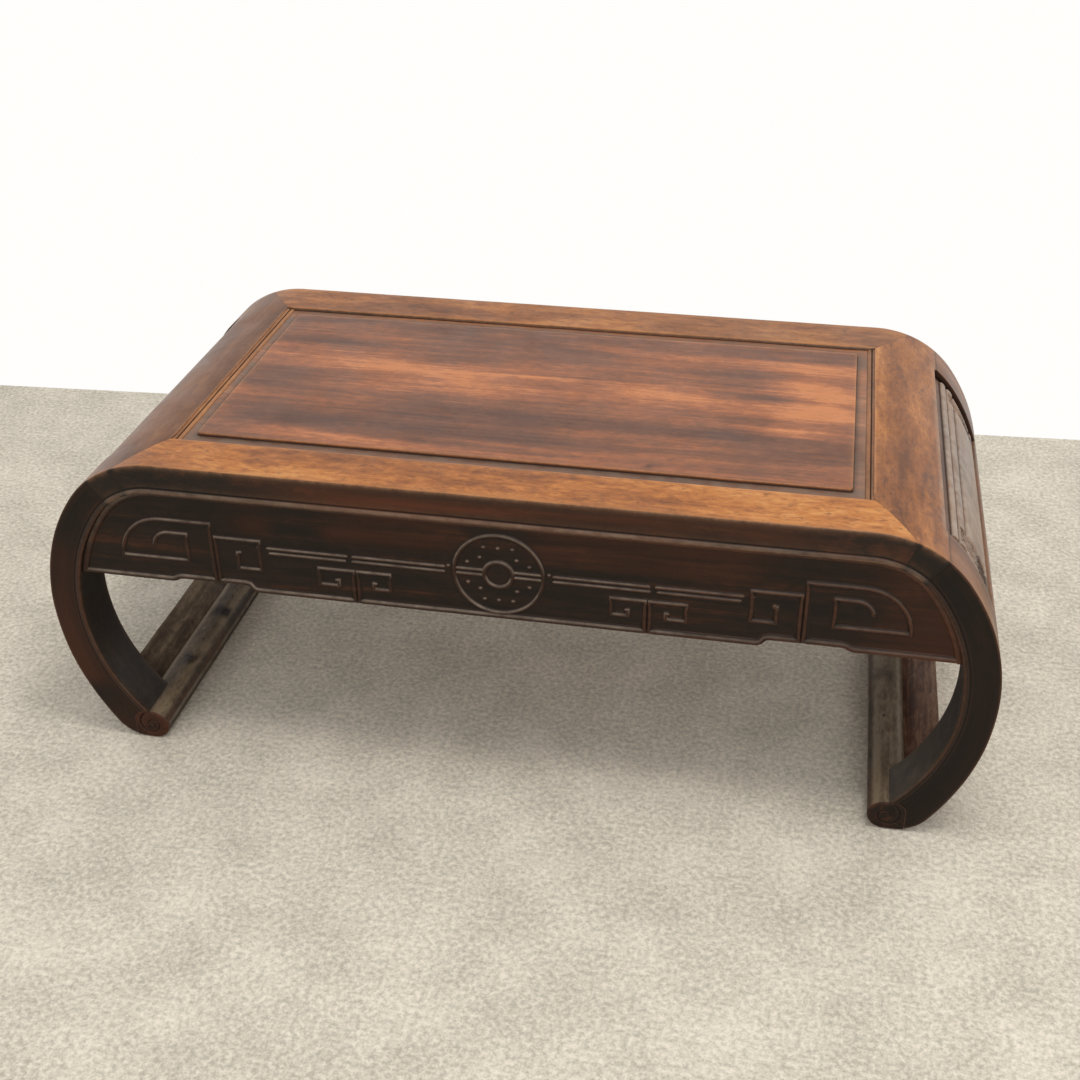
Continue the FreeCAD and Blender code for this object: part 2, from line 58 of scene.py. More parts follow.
# The table's main sizes, as in its parts
half_length, half_depth, height = 425.0, 206.0, 305.0
widest_height = 148.0
flat_x, foot_flat_x = 306.0, 354.0
shoulder_angle, foot_angle = 53.0, 55.0
underside = 277.5
inner_side_x, inner_flat_x = 394.5, 307.5
inner_foot_radius = 174.0
mitre_angle, seam_angle = 21.5, 38.0
panel_foot_angle, lower_rail_angle, board_angle = 72.0, 80.5, 60.8
opening_x, opening_y = 297.0, 150.6
leg_inner_y = 158.0
between_legs = leg_inner_y - 0.1
bead_width, face_sink = 5.0, 1.2
face_y = half_depth - face_sink
apron_face_y, apron_thickness, apron_bottom = 199.0, 13.0, 181.3
bar_outer_x, bar_inner_x, bar_height, bar_round = 364.0, 331.2, 30.6, 10.0
board_top = 17.0
peg_x, peg_places = 346.5, (-80.0, 0.0, 80.0)
batten_places = {"batten_left": -190.0, "batten_centre": 0.0, "batten_right": 190.0}
mitre_gap, seam_gap, panel_gap = 0.03, 0.04, 0.15

# Bend, as turn per millimetre, at which an edge is all worn or a hollow all darkened by old dirt and painted
# shade
worn_bend, grime_and_shade_bend = 0.11, 0.07


# Curves of the table's side
def two_arcs(level_x, level_z, side_x, side_z, turn):
    """Two tangent arcs that turn from level to upright, each a centre and a radius."""
    way = 1 if level_z > side_z else -1
    sine, cosine = sin(radians(turn)), cos(radians(turn))
    run, rise = side_x - level_x, abs(level_z - side_z)
    whole = sine * cosine - (1 - sine) * (1 - cosine)
    level = (run * cosine - rise * (1 - sine)) / whole
    side = (rise * sine - run * (1 - cosine)) / whole
    return ((level_x, level_z - way * level), level), ((side_x - side, side_z), side)


top_bend, top_side = two_arcs(flat_x, height, half_length, widest_height, shoulder_angle)
foot_bend, foot_side = two_arcs(foot_flat_x, 0, half_length, widest_height, foot_angle)
inner_bend, inner_side = two_arcs(inner_flat_x, underside, inner_side_x, widest_height, shoulder_angle)
inner_foot = (inner_side_x - inner_foot_radius, widest_height), inner_foot_radius

# The bar's outer side meets the foot's tight arc at this turn and height
bar_turn = asin((bar_outer_x - foot_flat_x) / foot_bend[1])
bar_low = foot_bend[0][1] - sqrt(foot_bend[1] ** 2 - (bar_outer_x - foot_flat_x) ** 2)

# Arcs of the outer face: end turn from upright in degrees, centre, radius
last_turn = 180 - degrees(bar_turn)
outer_arcs = [(shoulder_angle, *top_bend), (90, *top_side), (180 - foot_angle, *foot_side),
              (last_turn, *foot_bend)]


def polar(centre, radius, turn):
    """The point at a radius and a turn from upright, in radians, round a centre."""
    return centre[0] + radius * sin(turn), centre[1] + radius * cos(turn)


def arc(centre, radius, turns):
    """Points of a circle at turns from upright."""
    return [polar(centre, radius, turn) for turn in turns]


def hit(origin, turn, centre, radius):
    """Where a line from inside a circle, at a turn from upright in degrees, meets it."""
    sine, cosine = sin(radians(turn)), cos(radians(turn))
    dx, dz = centre[0] - origin[0], centre[1] - origin[1]
    ahead = dx * sine + dz * cosine
    reach = ahead + sqrt(radius ** 2 - (dx * dx + dz * dz - ahead * ahead))
    return origin[0] + sine * reach, origin[1] + cosine * reach


def turn_at(s):
    """The turn and the arc at a distance along the outer face from the table's middle."""
    s, start = s - flat_x, 0.0
    for end, centre, radius in outer_arcs:
        length = radians(end - start) * radius
        if s <= length or end == last_turn:
            return start + degrees(s / radius), centre, radius
        s, start = s - length, end


def distance_at(turn):
    """The distance along the outer face from the table's middle to a turn."""
    s, start = flat_x, 0.0
    for end, _, radius in outer_arcs:
        s += radians(min(turn, end) - start) * radius
        if turn <= end:
            return s
        start = end
    return s


seam_distance, last_distance = distance_at(seam_angle), distance_at(last_turn)


def inner_end():
    """Angles below level of the inner foot arc, where the foot's tight arc starts and at the bar."""
    x, z = hit(foot_side[0], 180 - foot_angle, *inner_foot)
    start = asin((widest_height - z) / inner_foot_radius)
    return start, asin((widest_height - bar_height) / inner_foot_radius)


def joint_line(share):
    """The line between leg and foot bar, from the outer face to the inner one."""
    end_x = inner_foot[0][0] + inner_foot_radius * cos(inner_end()[1])
    upright, bend = bar_height - bar_round - bar_low, pi / 2 * bar_round
    reach = share * (upright + bend + foot_flat_x - end_x)
    if reach <= upright:
        return bar_outer_x, bar_low + reach
    reach -= upright
    if reach <= bend:
        return polar((foot_flat_x, bar_height - bar_round), bar_round, pi / 2 - reach / bar_round)
    return foot_flat_x - (reach - bend), bar_height


def side_at(s):
    """Outer point, inner point and closeness to the foot's end, at a distance along the outer face."""
    if s <= flat_x:
        return (s, height), (s, underside), 0.0
    turn, centre, radius = turn_at(s)
    outer = polar(centre, radius, radians(turn))
    foot_turn = 180 - foot_angle
    if turn > foot_turn:
        near = (turn - foot_turn) / (last_turn - foot_turn)
        start, end = inner_end()
        down = pi / 2 + start + (end - start) * near
        return outer, polar(*inner_foot, down), near * near * (3 - 2 * near)
    if turn > 90:
        return outer, hit(centre, turn, *inner_foot), 0.0
    level_x = centre[0] + (underside - centre[1]) * tan(radians(turn))
    if turn < shoulder_angle and level_x < inner_flat_x:
        return outer, (level_x, underside), 0.0
    inner = hit(centre, turn, *inner_side)
    if inner[0] < inner_bend[0][0] + inner_bend[1] * sin(radians(shoulder_angle)):
        inner = hit(centre, turn, *inner_bend)
    return outer, inner, 0.0


# Numbers and points
def ease(x, start, end):
    """Goes smoothly from 0 at start to 1 at end, whichever of them is larger."""
    t = np.clip((x - start) / (end - start), 0, 1)
    return t * t * (3 - 2 * t)


def drift(points, size, seed):
    """Smooth random values from -1 to 1 at points."""
    cells = 24
    table = np.random.default_rng(seed).uniform(-1, 1, (cells, cells, cells))
    p = np.asarray(points) / size
    cell = np.floor(p).astype(int)
    f = ease(p - cell, 0, 1)
    total = np.zeros(len(p))
    for corner in product((0, 1), repeat=3):
        i, j, k = ((cell + corner) % cells).T
        total += np.prod(np.where(corner, f, 1 - f), axis=1) * table[i, j, k]
    return total


def spread(a, b, n):
    """n numbers or points from a up to but not including b."""
    a, b = np.asarray(a), np.asarray(b)
    return [a + (b - a) * i / n for i in range(n)]


def along(start, end, step):
    """Distances from start to end, both included, about a step apart."""
    return np.linspace(start, end, max(2, int(round((end - start) / step)) + 1))


def quarter():
    """Angles of a small round edge."""
    return spread(0.0, pi / 2, 6)


def finer(path):
    """The same path with points about three millimetres apart."""
    parts = [spread(a, b, max(1, int(dist(a, b) / 3))) for a, b in zip(path, path[1:])]
    return sum(parts, []) + [path[-1]]


def stand(plane, y):
    """Points of the XZ plane at one y or at their own."""
    plane = np.asarray(plane)
    return np.column_stack([plane[:, 0], np.broadcast_to(y, len(plane)), plane[:, 1]])


# Forms: lists of points and faces
def grid_faces(rows, cols, closed=False, start=0):
    """Quads of a grid of points; closed joins the last column to the first."""
    i, j = np.meshgrid(np.arange(rows - 1), np.arange(cols if closed else cols - 1), indexing="ij")
    k = (j + 1) % cols
    quads = np.stack([i * cols + j, i * cols + k, (i + 1) * cols + k, (i + 1) * cols + j], axis=-1)
    return (quads.reshape(-1, 4) + start).tolist()


def tube(rings, closed=False):
    """A tube through rings of points, with flat ends or closed on itself."""
    rings = np.asarray(rings, float)
    n, m = rings.shape[:2]
    faces = grid_faces(n, m, closed=True)
    last = (n - 1) * m
    if closed:
        faces += [[last + j, last + (j + 1) % m, (j + 1) % m, j] for j in range(m)]
    else:
        faces += [list(range(m)), list(range(last, last + m))]
    return rings.reshape(-1, 3), faces


def prism(profile, ys):
    """A tube with the same XZ profile at each y."""
    return tube([stand(profile, y) for y in ys])


def join(parts):
    """Several closed forms as one."""
    points, faces, start = [], [], 0
    for more, quads in parts:
        points.append(np.asarray(more))
        faces += [[i + start for i in quad] for quad in quads]
        start += len(more)
    return np.concatenate(points), faces


def add_object(name, data):
    """An object in the scene."""
    obj = bpy.data.objects.new(name, data)
    bpy.context.scene.collection.objects.link(obj)
    return obj


class Piece:
    """A mesh in the place of a part, and where its points lie and face."""

    def __init__(self, name, form, side_x=1, side_y=-1, cuts=(), sharp=50, wobble=0.12):
        """Mirrors a form at the front right to its side and cuts it by planes that keep their back."""
        mesh = bpy.data.meshes.new(name)
        mesh.from_pydata((np.asarray(form[0], float) * (side_x, -side_y, 1)).tolist(), [], form[1])
        bm = bmesh.new()
        bm.from_mesh(mesh)
        bmesh.ops.recalc_face_normals(bm, faces=bm.faces)
        for place, normal in cuts:
            geometry = bm.verts[:] + bm.edges[:] + bm.faces[:]
            made = bmesh.ops.bisect_plane(bm, geom=geometry, plane_co=place, plane_no=normal,
                                          clear_outer=True)
            edges = [e for e in made["geom_cut"] if isinstance(e, bmesh.types.BMEdge)]
            bmesh.ops.holes_fill(bm, edges=edges)
        bmesh.ops.recalc_face_normals(bm, faces=bm.faces)
        bm.to_mesh(mesh)
        bm.free()
        self.name, self.mesh = name, mesh
        co = self.read(mesh.vertices, "co")
        shift = np.stack([drift(co, 38, k) + 0.5 * drift(co, 13, k + 5) for k in range(3)], axis=1)
        low, high = (np.array(corner) / MM for corner in cad_box)
        co = np.clip(co + shift * wobble, low, high)
        mesh.vertices.foreach_set("co", (co * MM).ravel())
        mesh.shade_smooth()
        mesh.set_sharp_from_angle(angle=radians(sharp))
        mesh.update()
        self.co, self.normal = self.read(mesh.vertices, "co"), self.read(mesh.vertex_normals, "vector")
        self.p = self.co / MM
        self.x, self.y, self.z = self.p.T
        self.out, self.side = abs(self.x), abs(self.y)
        self.inward = -self.normal[:, 0] * np.sign(self.x)
        self.facing, self.up = abs(self.normal[:, 1]), self.normal[:, 2]

    def read(self, items, field):
        """A vector of each item of the mesh."""
        values = np.empty(len(items) * 3)
        items.foreach_get(field, values)
        return values.reshape(-1, 3)

    def bend(self):
        """How hollow the mesh is at each point; edges that stand out are below nothing."""
        ends = np.empty(len(self.mesh.edges) * 2, int)
        self.mesh.edges.foreach_get("vertices", ends)
        a, b = ends.reshape(-1, 2).T
        step = self.co[b] - self.co[a]
        size = np.maximum((step ** 2).sum(1), 1e-9)
        bend, count = np.zeros(len(self.co)), np.zeros(len(self.co))
        for end, way in ((a, 1), (b, -1)):
            np.add.at(bend, end, way * (self.normal[end] * step).sum(1) / size)
            np.add.at(count, end, 1)
        bend = bend / np.maximum(count, 1) * MM
        for _ in range(2):
            total = bend.copy()
            np.add.at(total, a, bend[b])
            np.add.at(total, b, bend[a])
            bend = total / (count + 1)
        return bend

    def dress(self, slot, grain, seed, own=None, keep=1.0, replaces=True, **marks):
        """Writes wear, old dirt and painted shade in the hollows, the given marks and the wood's own
        coordinates onto the points, and hands the piece over.
        """
        bend = self.bend()
        values = {"edge": np.clip(-bend / worn_bend, 0, 1) * keep, "grime_and_shade": np.clip(bend / grime_and_shade_bend, 0, 1)}
        values |= dict.fromkeys(("haze", "stain", "rub", "dark", "tint", "glow"), 0.0) | marks
        for key, value in values.items():
            data = self.mesh.attributes.new(key, "FLOAT", "POINT").data
            data.foreach_set("value", np.broadcast_to(value, len(self.co)).astype(np.float32))
        order = {"x": (0, 1, 2), "y": (1, 0, 2), "z": (2, 0, 1)}[grain]
        place = (self.co[:, order] if own is None else own) + np.random.default_rng(seed).uniform(-2, 2, 3)
        data = self.mesh.attributes.new("wood", "FLOAT_VECTOR", "POINT").data
        data.foreach_set("vector", place.astype(np.float32).ravel())
        self.mesh.materials.append(woods[slot])
        obj = add_object(self.name, self.mesh)
        if replaces:
            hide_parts(self.name)
        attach(obj, "root")


def both_ends(make, name, seed):
    """Makes a piece at the right end and its mirror image at the left."""
    make(name + "_right", 1, seed)
    make(name + "_left", -1, seed + 1)


# Materials
def paint(colour):
    """A colour from 0-255 numbers, as light."""
    return (*(v / 255 / 12.92 if v <= 10 else ((v / 255 + 0.055) / 1.055) ** 2.4 for v in colour), 1)


class Graph:
    """Short names for making the nodes of a material or a world."""

    def __init__(self, owner):
        owner.use_nodes = True
        self.tree = owner.node_tree
        self.tree.nodes.clear()

    def add(self, kind, inputs=None, out=0, **settings):
        node = self.tree.nodes.new("ShaderNode" + kind)
        for key, value in settings.items():
            setattr(node, key, value)
        for key, value in (inputs or {}).items():
            if isinstance(value, bpy.types.NodeSocket):
                self.tree.links.new(value, node.inputs[key])
            else:
                node.inputs[key].default_value = value
        return node.outputs[out] if node.outputs else None

    def attribute(self, name, out="Fac"):
        return self.add("Attribute", out=out, attribute_name=name)

    def math(self, operation, a, b, clamp=False):
        return self.add("Math", {0: a, 1: b}, operation=operation, use_clamp=clamp)

    def plus(self, a, b, clamp=False):
        return self.math("ADD", a, b, clamp)

    def times(self, a, b, clamp=False):
        return self.math("MULTIPLY", a, b, clamp)

    def swing(self, value, amount):
        """A noise as a swing to both sides of nothing."""
        return self.times(self.math("SUBTRACT", value, 0.5), amount)

    def noise(self, vector, scale, detail=3.0, rough=0.55, distortion=0.0):
        return self.add("TexNoise", {"Vector": vector, "Scale": scale, "Detail": detail, "Roughness": rough,
                                     "Distortion": distortion})

    def span(self, value, low, high, to_low=0.0, to_high=1.0):
        return self.add("MapRange", {"Value": value, "From Min": low, "From Max": high, "To Min": to_low,
                                     "To Max": to_high}, clamp=True)

    def mix(self, factor, a, b):
        return self.add("Mix", {0: factor, 6: a, 7: b}, out=2, data_type="RGBA", blend_type="MIX")

    def ramp(self, factor, colours, places=(0.0, 0.4, 0.7, 1.0)):
        """A colour ramp through 0-255 colours."""
        node = self.tree.nodes.new("ShaderNodeValToRGB")
        self.tree.links.new(factor, node.inputs[0])
        elements = node.color_ramp.elements
        while len(elements) < len(colours):
            elements.new(0.5)
        for element, place, colour in zip(elements, places, colours):
            element.position, element.color = place, paint(colour)
        return node.outputs[0]


# Old dirt in the pores; old dirt and painted shade in the hollows; stains, and painted shade in deep recesses
pore_black = (0.012, 0.006, 0.004, 1)
grime_and_shade_black = (0.008, 0.005, 0.004, 1)
stain_black = (0.012, 0.005, 0.004, 1)

# Colours from the deepest to the lightest figure of each wood
golden = [(122, 70, 34), (164, 98, 46), (194, 122, 58), (214, 148, 82)]
nut_brown = [(78, 50, 34), (122, 79, 49), (150, 100, 63), (176, 122, 78)]
streaked = [(90, 58, 44), (124, 78, 54), (162, 98, 62), (204, 130, 80)]
near_black = [(18, 12, 8), (26, 17, 11), (37, 23, 14), (64, 35, 20)]
leg_black = [(13, 9, 6), (18, 12, 8), (26, 16, 10), (46, 25, 15)]
foot_brown = [(64, 54, 44), (88, 75, 60), (109, 94, 75), (130, 113, 91)]
board_red = [(62, 38, 29), (108, 72, 54), (154, 114, 88), (196, 160, 132)]
inner_brown = [(70, 46, 30), (96, 66, 44), (118, 84, 56), (140, 102, 70)]


def wood(name, light=golden, brown=nut_brown, dark=near_black, worn=(206, 142, 88), worn_dark=(122, 88, 64),
         figure=(3.0, 26.0), flecks=0.5, mottle=0.4, blotch=0.35, roughness=(0.3, 0.46), wear=0.8,
         haze=(128, 112, 98), rub=(100, 50, 24), streak=0.35, specular=0.3):
    """A polished old wood: figure, fibre, mottling, pores, patina, worn edges, stains, dust, dirt and painted
    shade in the hollows, and painted sheen.
    """
    material = bpy.data.materials.new(name)
    g = Graph(material)
    place = g.attribute("wood", "Vector")

    def grained(lengthwise, across, detail=3.0, rough=0.6, distortion=0.0):
        """Noise that is drawn out along the grain."""
        scale = (lengthwise, across, across)
        stretched = g.add("VectorMath", {0: place, 1: scale}, operation="MULTIPLY")
        return g.noise(stretched, 1.0, detail, rough, distortion)

    bands = grained(*figure, 4.0, 0.6, 0.6)
    fibre = grained(9.0, 260.0)
    cloud = grained(70.0, 150.0, 4.0, 0.65, 0.5)
    patch = g.noise(place, 7.0, 3.0, 0.6)
    calm = g.span(g.attribute("tint"), 0.0, 1.0, 1.0, 0.4)
    tone = g.plus(g.swing(fibre, streak), g.swing(patch, blotch))
    tone = g.plus(tone, g.times(g.swing(cloud, mottle), calm))
    tone = g.plus(tone, g.times(g.attribute("glow"), 0.2))
    tone = g.span(g.plus(bands, tone), 0.25, 0.75)
    colour = g.mix(g.attribute("tint"), g.ramp(tone, light), g.ramp(tone, brown))
    fleck = g.span(grained(110.0, 230.0, 2.0, 0.6, 0.4), 0.58, 0.74)
    colour = g.mix(g.times(fleck, flecks), colour, paint(brown[0]))
    polish = g.span(g.plus(g.attribute("dark"), g.swing(cloud, 0.12)), 0.05, 0.95)
    colour = g.mix(polish, colour, g.ramp(tone, dark))
    pores = g.span(grained(140.0, 1300.0, 1.0, 0.55), 0.62, 0.72)
    colour = g.mix(g.times(pores, 0.35), colour, pore_black)
    scuffs = g.span(grained(4.0, 80.0, 4.0), 0.35, 0.65, 0.25, 1.0)
    colour = g.mix(g.times(g.attribute("rub"), scuffs), colour, paint(rub))
    # Old dirt and painted shade darken the hollows
    grime_and_shade = g.attribute("grime_and_shade")
    colour = g.mix(g.times(grime_and_shade, 0.8), colour, grime_and_shade_black)
    edge = g.times(g.attribute("edge"), g.span(g.noise(place, 160.0, 3.0, 0.65), 0.32, 0.68, 0.4, 1.0))
    wear_colour = g.mix(g.attribute("dark"), paint(worn), paint(worn_dark))
    colour = g.mix(g.times(edge, wear, clamp=True), colour, wear_colour)
    # The grey film is painted sheen and highlights where light falls, and partly dust
    hazed = g.times(g.attribute("haze"), g.span(g.noise(place, 75.0, 4.0), 0.34, 0.66, 0.35, 1.0))
    colour = g.mix(hazed, colour, paint(haze))
    # Real stains, and painted shade in the deep recesses
    stain = g.times(g.attribute("stain"), g.span(g.noise(place, 210.0), 0.3, 0.5, 0.5, 1.0))
    colour = g.mix(stain, colour, stain_black)
    rough = g.plus(g.span(g.noise(place, 22.0, 4.0, 0.6), 0.3, 0.7, *roughness),
                   g.times(g.plus(grime_and_shade, hazed), 0.18), clamp=True)
    waves = g.math("SUBTRACT", g.times(g.noise(place, 45.0), 1.6), g.times(pores, 0.6))
    bump = g.add("Bump", {"Strength": 0.3, "Distance": 0.0005, "Height": g.plus(g.times(fibre, 0.5), waves)})
    shader = g.add("BsdfPrincipled", {"Base Color": colour, "Roughness": rough, "Normal": bump,
                                      "Specular IOR Level": specular})
    g.add("OutputMaterial", {"Surface": shader})
    return material


looks = {
    "frame_wood": dict(figure=(6.0, 30.0), flecks=0.6, mottle=0.75, blotch=0.3, haze=(176, 156, 138),
                       streak=0.15, specular=0.25),
    "panel_wood": dict(light=streaked, figure=(2.0, 26.0), flecks=0.2, mottle=0.35, wear=0.4, streak=0.32),
    "leg_wood": dict(dark=leg_black, worn=(150, 104, 72), worn_dark=(100, 64, 44), figure=(4.0, 40.0),
                     flecks=0.3, wear=0.5, haze=(82, 72, 60), specular=0.2),
    "apron_wood": dict(worn_dark=(106, 66, 47), figure=(4.0, 60.0), flecks=0.2, wear=0.45,
                       haze=(150, 134, 120), specular=0.2),
    "end_wood": dict(worn=(176, 150, 128), worn_dark=(120, 96, 80), figure=(5.0, 40.0), wear=0.5,
                     haze=(188, 174, 160)),
    "foot_wood": dict(light=foot_brown, brown=board_red, worn=(128, 110, 90), worn_dark=(84, 46, 32),
                      figure=(4.0, 60.0), flecks=0.4, mottle=1.0, roughness=(0.4, 0.6), wear=0.5,
                      haze=(150, 138, 122), specular=0.2),
    "inner_wood": dict(light=inner_brown, brown=inner_brown, worn=(140, 104, 76), figure=(4.0, 40.0),
                       roughness=(0.6, 0.8), wear=0.3),
    "peg_wood": dict(light=near_black, brown=near_black, worn=(80, 62, 50), figure=(60.0, 60.0),
                     roughness=(0.5, 0.7), wear=0.4)}
woods = {name: wood(name, **look) for name, look in looks.items()}


# Cross-sections of the frame and legs
def front_profile(thickness, s, face_points):
    """Depth from the outer face and y, over the front from its outer arris to its inner one."""
    foot = float(ease(s, 560, 650))
    r = 1.5 + 1.3 * foot
    bead = face_sink * (1 - 0.75 * foot)
    groove = 0.28 * (1 - 0.6 * foot)
    groove_width = 2.0
    end = thickness - bead_width - groove_width
    points = [(r - r * cos(a), -face_y + r - r * sin(a)) for a in quarter()]
    points += [(d, -face_y) for d in spread(r, end, face_points)]
    points += [(end + across, -face_y + share * groove)
               for across, share in ((0.0, 0.0), (0.5, 0.3), (1.2, 0.9), (1.7, 1.0))]
    points += [(thickness - bead_width + 3.5 * t, -face_y - bead * (0.25 + 1.2 * t - 0.45 * t * t))
               for t in (0.0, 0.2, 0.4, 0.6, 0.8)]
    crest, drop = 1.5, 1.2
    points += [(thickness - crest + crest * sin(a), -face_y + drop - (bead + drop) * cos(a))
               for a in quarter()]
    return points


def section_at(s, points):
    """Points of a cross-section, as depth and y, put in their place at a distance along the outer face."""
    outer, inner, near = side_at(s)
    last_out, last_in, _ = side_at(last_distance)
    thickness = dist(outer, inner)
    ring = []
    for depth, y in points:
        t = depth / thickness
        x, z = outer[0] + (inner[0] - outer[0]) * t, outer[1] + (inner[1] - outer[1]) * t
        if near:
            joint_x, joint_z = joint_line(t)
            x += near * (joint_x - last_out[0] - (last_in[0] - last_out[0]) * t)
            z += near * (joint_z - last_out[1] - (last_in[1] - last_out[1]) * t)
        ring.append((x, y, z))
    return ring


def strip_ring(s, inner_y, face_points, inner_round=(1.2, 1.2)):
    """A closed ring round a leg or long rail at the front right, at a distance along the outer face."""
    outer, inner, _ = side_at(s)
    thickness = dist(outer, inner)
    up, down = inner_round
    edge = -inner_y - up
    points = [(up - up * sin(a), edge + up * cos(a)) for a in quarter()]
    points += [(0.0, y) for y in spread(edge, -face_y + 3, 12)]
    points += front_profile(thickness, s, face_points)
    edge = -inner_y - down
    points += [(thickness, y) for y in spread(-face_y + 1.2, edge, 12)]
    points += [(thickness - down + down * cos(a), edge + down * sin(a)) for a in quarter()]
    points += [(d, -inner_y) for d in spread(thickness - down, up, 5)]
    return section_at(s, points)


eye = (347.5, 16.0)


def scroll_cut(x, z):
    """Depth of the carved spiral on the foot's front, with a small dome as its eye."""
    dx, dz = x - eye[0], z - eye[1]
    radius = np.hypot(dx, dz)
    angle = (radians(81) - np.arctan2(dz, dx)) % (2 * pi)
    cut = np.zeros_like(radius)
    for lap in (0, 1):
        swept = angle + 2 * pi * lap
        line, width = 15.0 * np.exp(-0.172 * swept), 0.95 - 0.05 * swept
        cut = np.maximum(cut, 0.95 * np.exp(-((radius - line) / width) ** 2) * ease(swept, 7.9, 7.4))
    return cut - 0.5 * np.clip(1 - (radius / 2.2) ** 2, 0, 1)


# Planes of the mitres, each kept by the end rail on its front and by the long rail on its back
mitre_slope = tan(radians(mitre_angle))
front_x, front_z = polar(*top_bend, radians(mitre_angle))
mitre_run = front_x - flat_x + (height - front_z) * mitre_slope
mitre_depth = half_depth - opening_y
mitre_normal = Vector((mitre_depth, mitre_run, -mitre_slope * mitre_depth)).normalized()


def mitre_cut(side_x, side_y, keep_end):
    """The cut plane of one mitre, for the end rail or for the long rail."""
    normal = Vector((mitre_normal.x * side_x, -mitre_normal.y * side_y, mitre_normal.z))
    normal *= -1 if keep_end else 1
    return Vector((flat_x * side_x, opening_y * side_y, height)) - normal * mitre_gap, normal


# Old dark polish, wear and dirt on the frame and legs, and a painted highlight on the bead
def beyond(it, centre, radius):
    """How far a piece's points lie outside a circle of the table's side."""
    return np.hypot(it.out - centre[0], it.z - centre[1]) - radius


def past_seam(it):
    """How far a piece's points lie past the seam, down the leg."""
    turn, (x, z) = radians(seam_angle), top_bend[0]
    return (it.out - x) * cos(turn) - (it.z - z) * sin(turn)


def off_joints(it):
    """Nothing at the mitres and seams, rising to one beside them."""
    a, b, c = mitre_normal
    mitre = abs((it.out - flat_x) * a + (opening_y - it.side) * b + (it.z - height) * c)
    return ease(np.minimum(mitre, abs(past_seam(it))), 1.0, 5.0)


def frame_shade(it):
    """Nearly black on the front and back faces, and darker down the ends and inside the legs."""
    face = np.maximum(ease(it.facing, 0.3, 0.7), ease(it.side, 202.6, 205.0))
    return np.maximum(face, 0.75 * ease(it.up, 0.95, -0.15))


def painted_bead_highlight(it):
    """A painted highlight on the upper slope of the bead along the frame's inner edge, fainter to the right.
    """
    (level_x, level_z), level_radius = inner_bend
    dx, dz = np.maximum(it.out - level_x, 0), it.z - level_z
    side = np.where(it.z > widest_height, beyond(it, *inner_side), beyond(it, *inner_foot))
    away = np.where(np.arctan2(dx, dz) < radians(shoulder_angle), np.hypot(dx, dz) - level_radius, side)
    on_bead = ease(away, bead_width, 3.8) * ease(it.side, face_y - 0.5, face_y)
    return (0.5 - 0.2 * ease(it.x, 120, 300)) * on_bead * ease(it.up, -0.1, 0.3)


def frame_rub(it):
    """Redder, rubbed places on the dark front and back faces."""
    middle = ease(it.x, -250, -80) * ease(it.x, 310, 160) * (it.z > 270)
    low = (0.32 - 0.28 * (it.x > 0)) * ease(it.z, 240, 180)
    patches = ease(drift(it.p, 45, 11), -0.75, 0.05)
    return ease(it.facing, 0.5, 0.8) * np.maximum(0.6 * middle, low) * patches


# Long rails of the top frame
def make_long_rail(name, side_y, seed):
    stops = np.concatenate([along(0, 290, 6)[:-1], along(290, 356, 1.5)])
    right = [strip_ring(s, opening_y, 8, (2.8, 1.0)) for s in stops]
    left = [[(-x, y, z) for x, y, z in ring] for ring in right[:0:-1]]
    cuts = [mitre_cut(side_x, side_y, False) for side_x in (1, -1)]
    it = Piece(name, tube(left + right), 1, side_y, cuts, sharp=35)
    tint = 0.1 if side_y < 0 else 0.45 + 0.25 * ease(it.x, 0, 200)
    glow = 0.5 * (side_y < 0) * ease(it.x, 40, 290)
    # The bead carries a painted highlight on its upper slope
    it.dress("frame_wood", "x", seed, keep=off_joints(it), dark=frame_shade(it), rub=frame_rub(it), tint=tint,
             haze=0.6 * painted_bead_highlight(it), glow=glow)


make_long_rail("top_rail_front", -1, 1)
make_long_rail("top_rail_back", 1, 2)


# End rails
def end_ring(s, left):
    """A ring round the end rail at the right, over its full depth, with a length left to its end."""
    outer, inner, _ = side_at(s)
    thickness = dist(outer, inner)
    front = front_profile(thickness, s, 8)
    r = 3.6
    drop = r - sqrt(r * r - max(r - left, 0) ** 2)
    ys = [*spread(face_y - 3, 159, 8), 158, 157, 156, *spread(155, -155, 40), -155, -156, -157, -158,
          *spread(-159, -face_y + 3, 8)]
    points = [(drop * float(ease(abs(y), 157.5, 156.3)), y) for y in ys] + front
    points += [(thickness, y) for y in spread(-face_y + 1.2, face_y - 1.2, 50)]
    return section_at(s, points + [(d, -y) for d, y in reversed(front)])


def make_end_rail(name, side_x, seed):
    end = seam_distance - seam_gap
    stops = np.concatenate([along(flat_x, end - 4, 1.2)[:-1], along(end - 4, end, 0.5)])
    cuts = [mitre_cut(side_x, side_y, True) for side_y in (-1, 1)]
    it = Piece(name, tube([end_ring(s, end - s) for s in stops]), side_x, cuts=cuts, sharp=35)
    left = side_x < 0
    # The lower edge above the end panel is worn and carries a painted sheen where it faces up; the bead
    # carries a painted highlight
    seam_wear_and_sheen = ease(past_seam(it), -7.5, -5.0) * ease(it.side, 171, 166) * ease(it.up, 0, 0.3)
    it.dress("frame_wood", "y", seed, keep=off_joints(it), dark=np.maximum(frame_shade(it), 0.36 * left),
             tint=0.9 if left else 0.48, rub=0.3 * left * ease(it.facing, 0.6, 0.2),
             haze=np.maximum(0.6 * painted_bead_highlight(it), 0.45 * seam_wear_and_sheen))


both_ends(make_end_rail, "end_rail", 3)

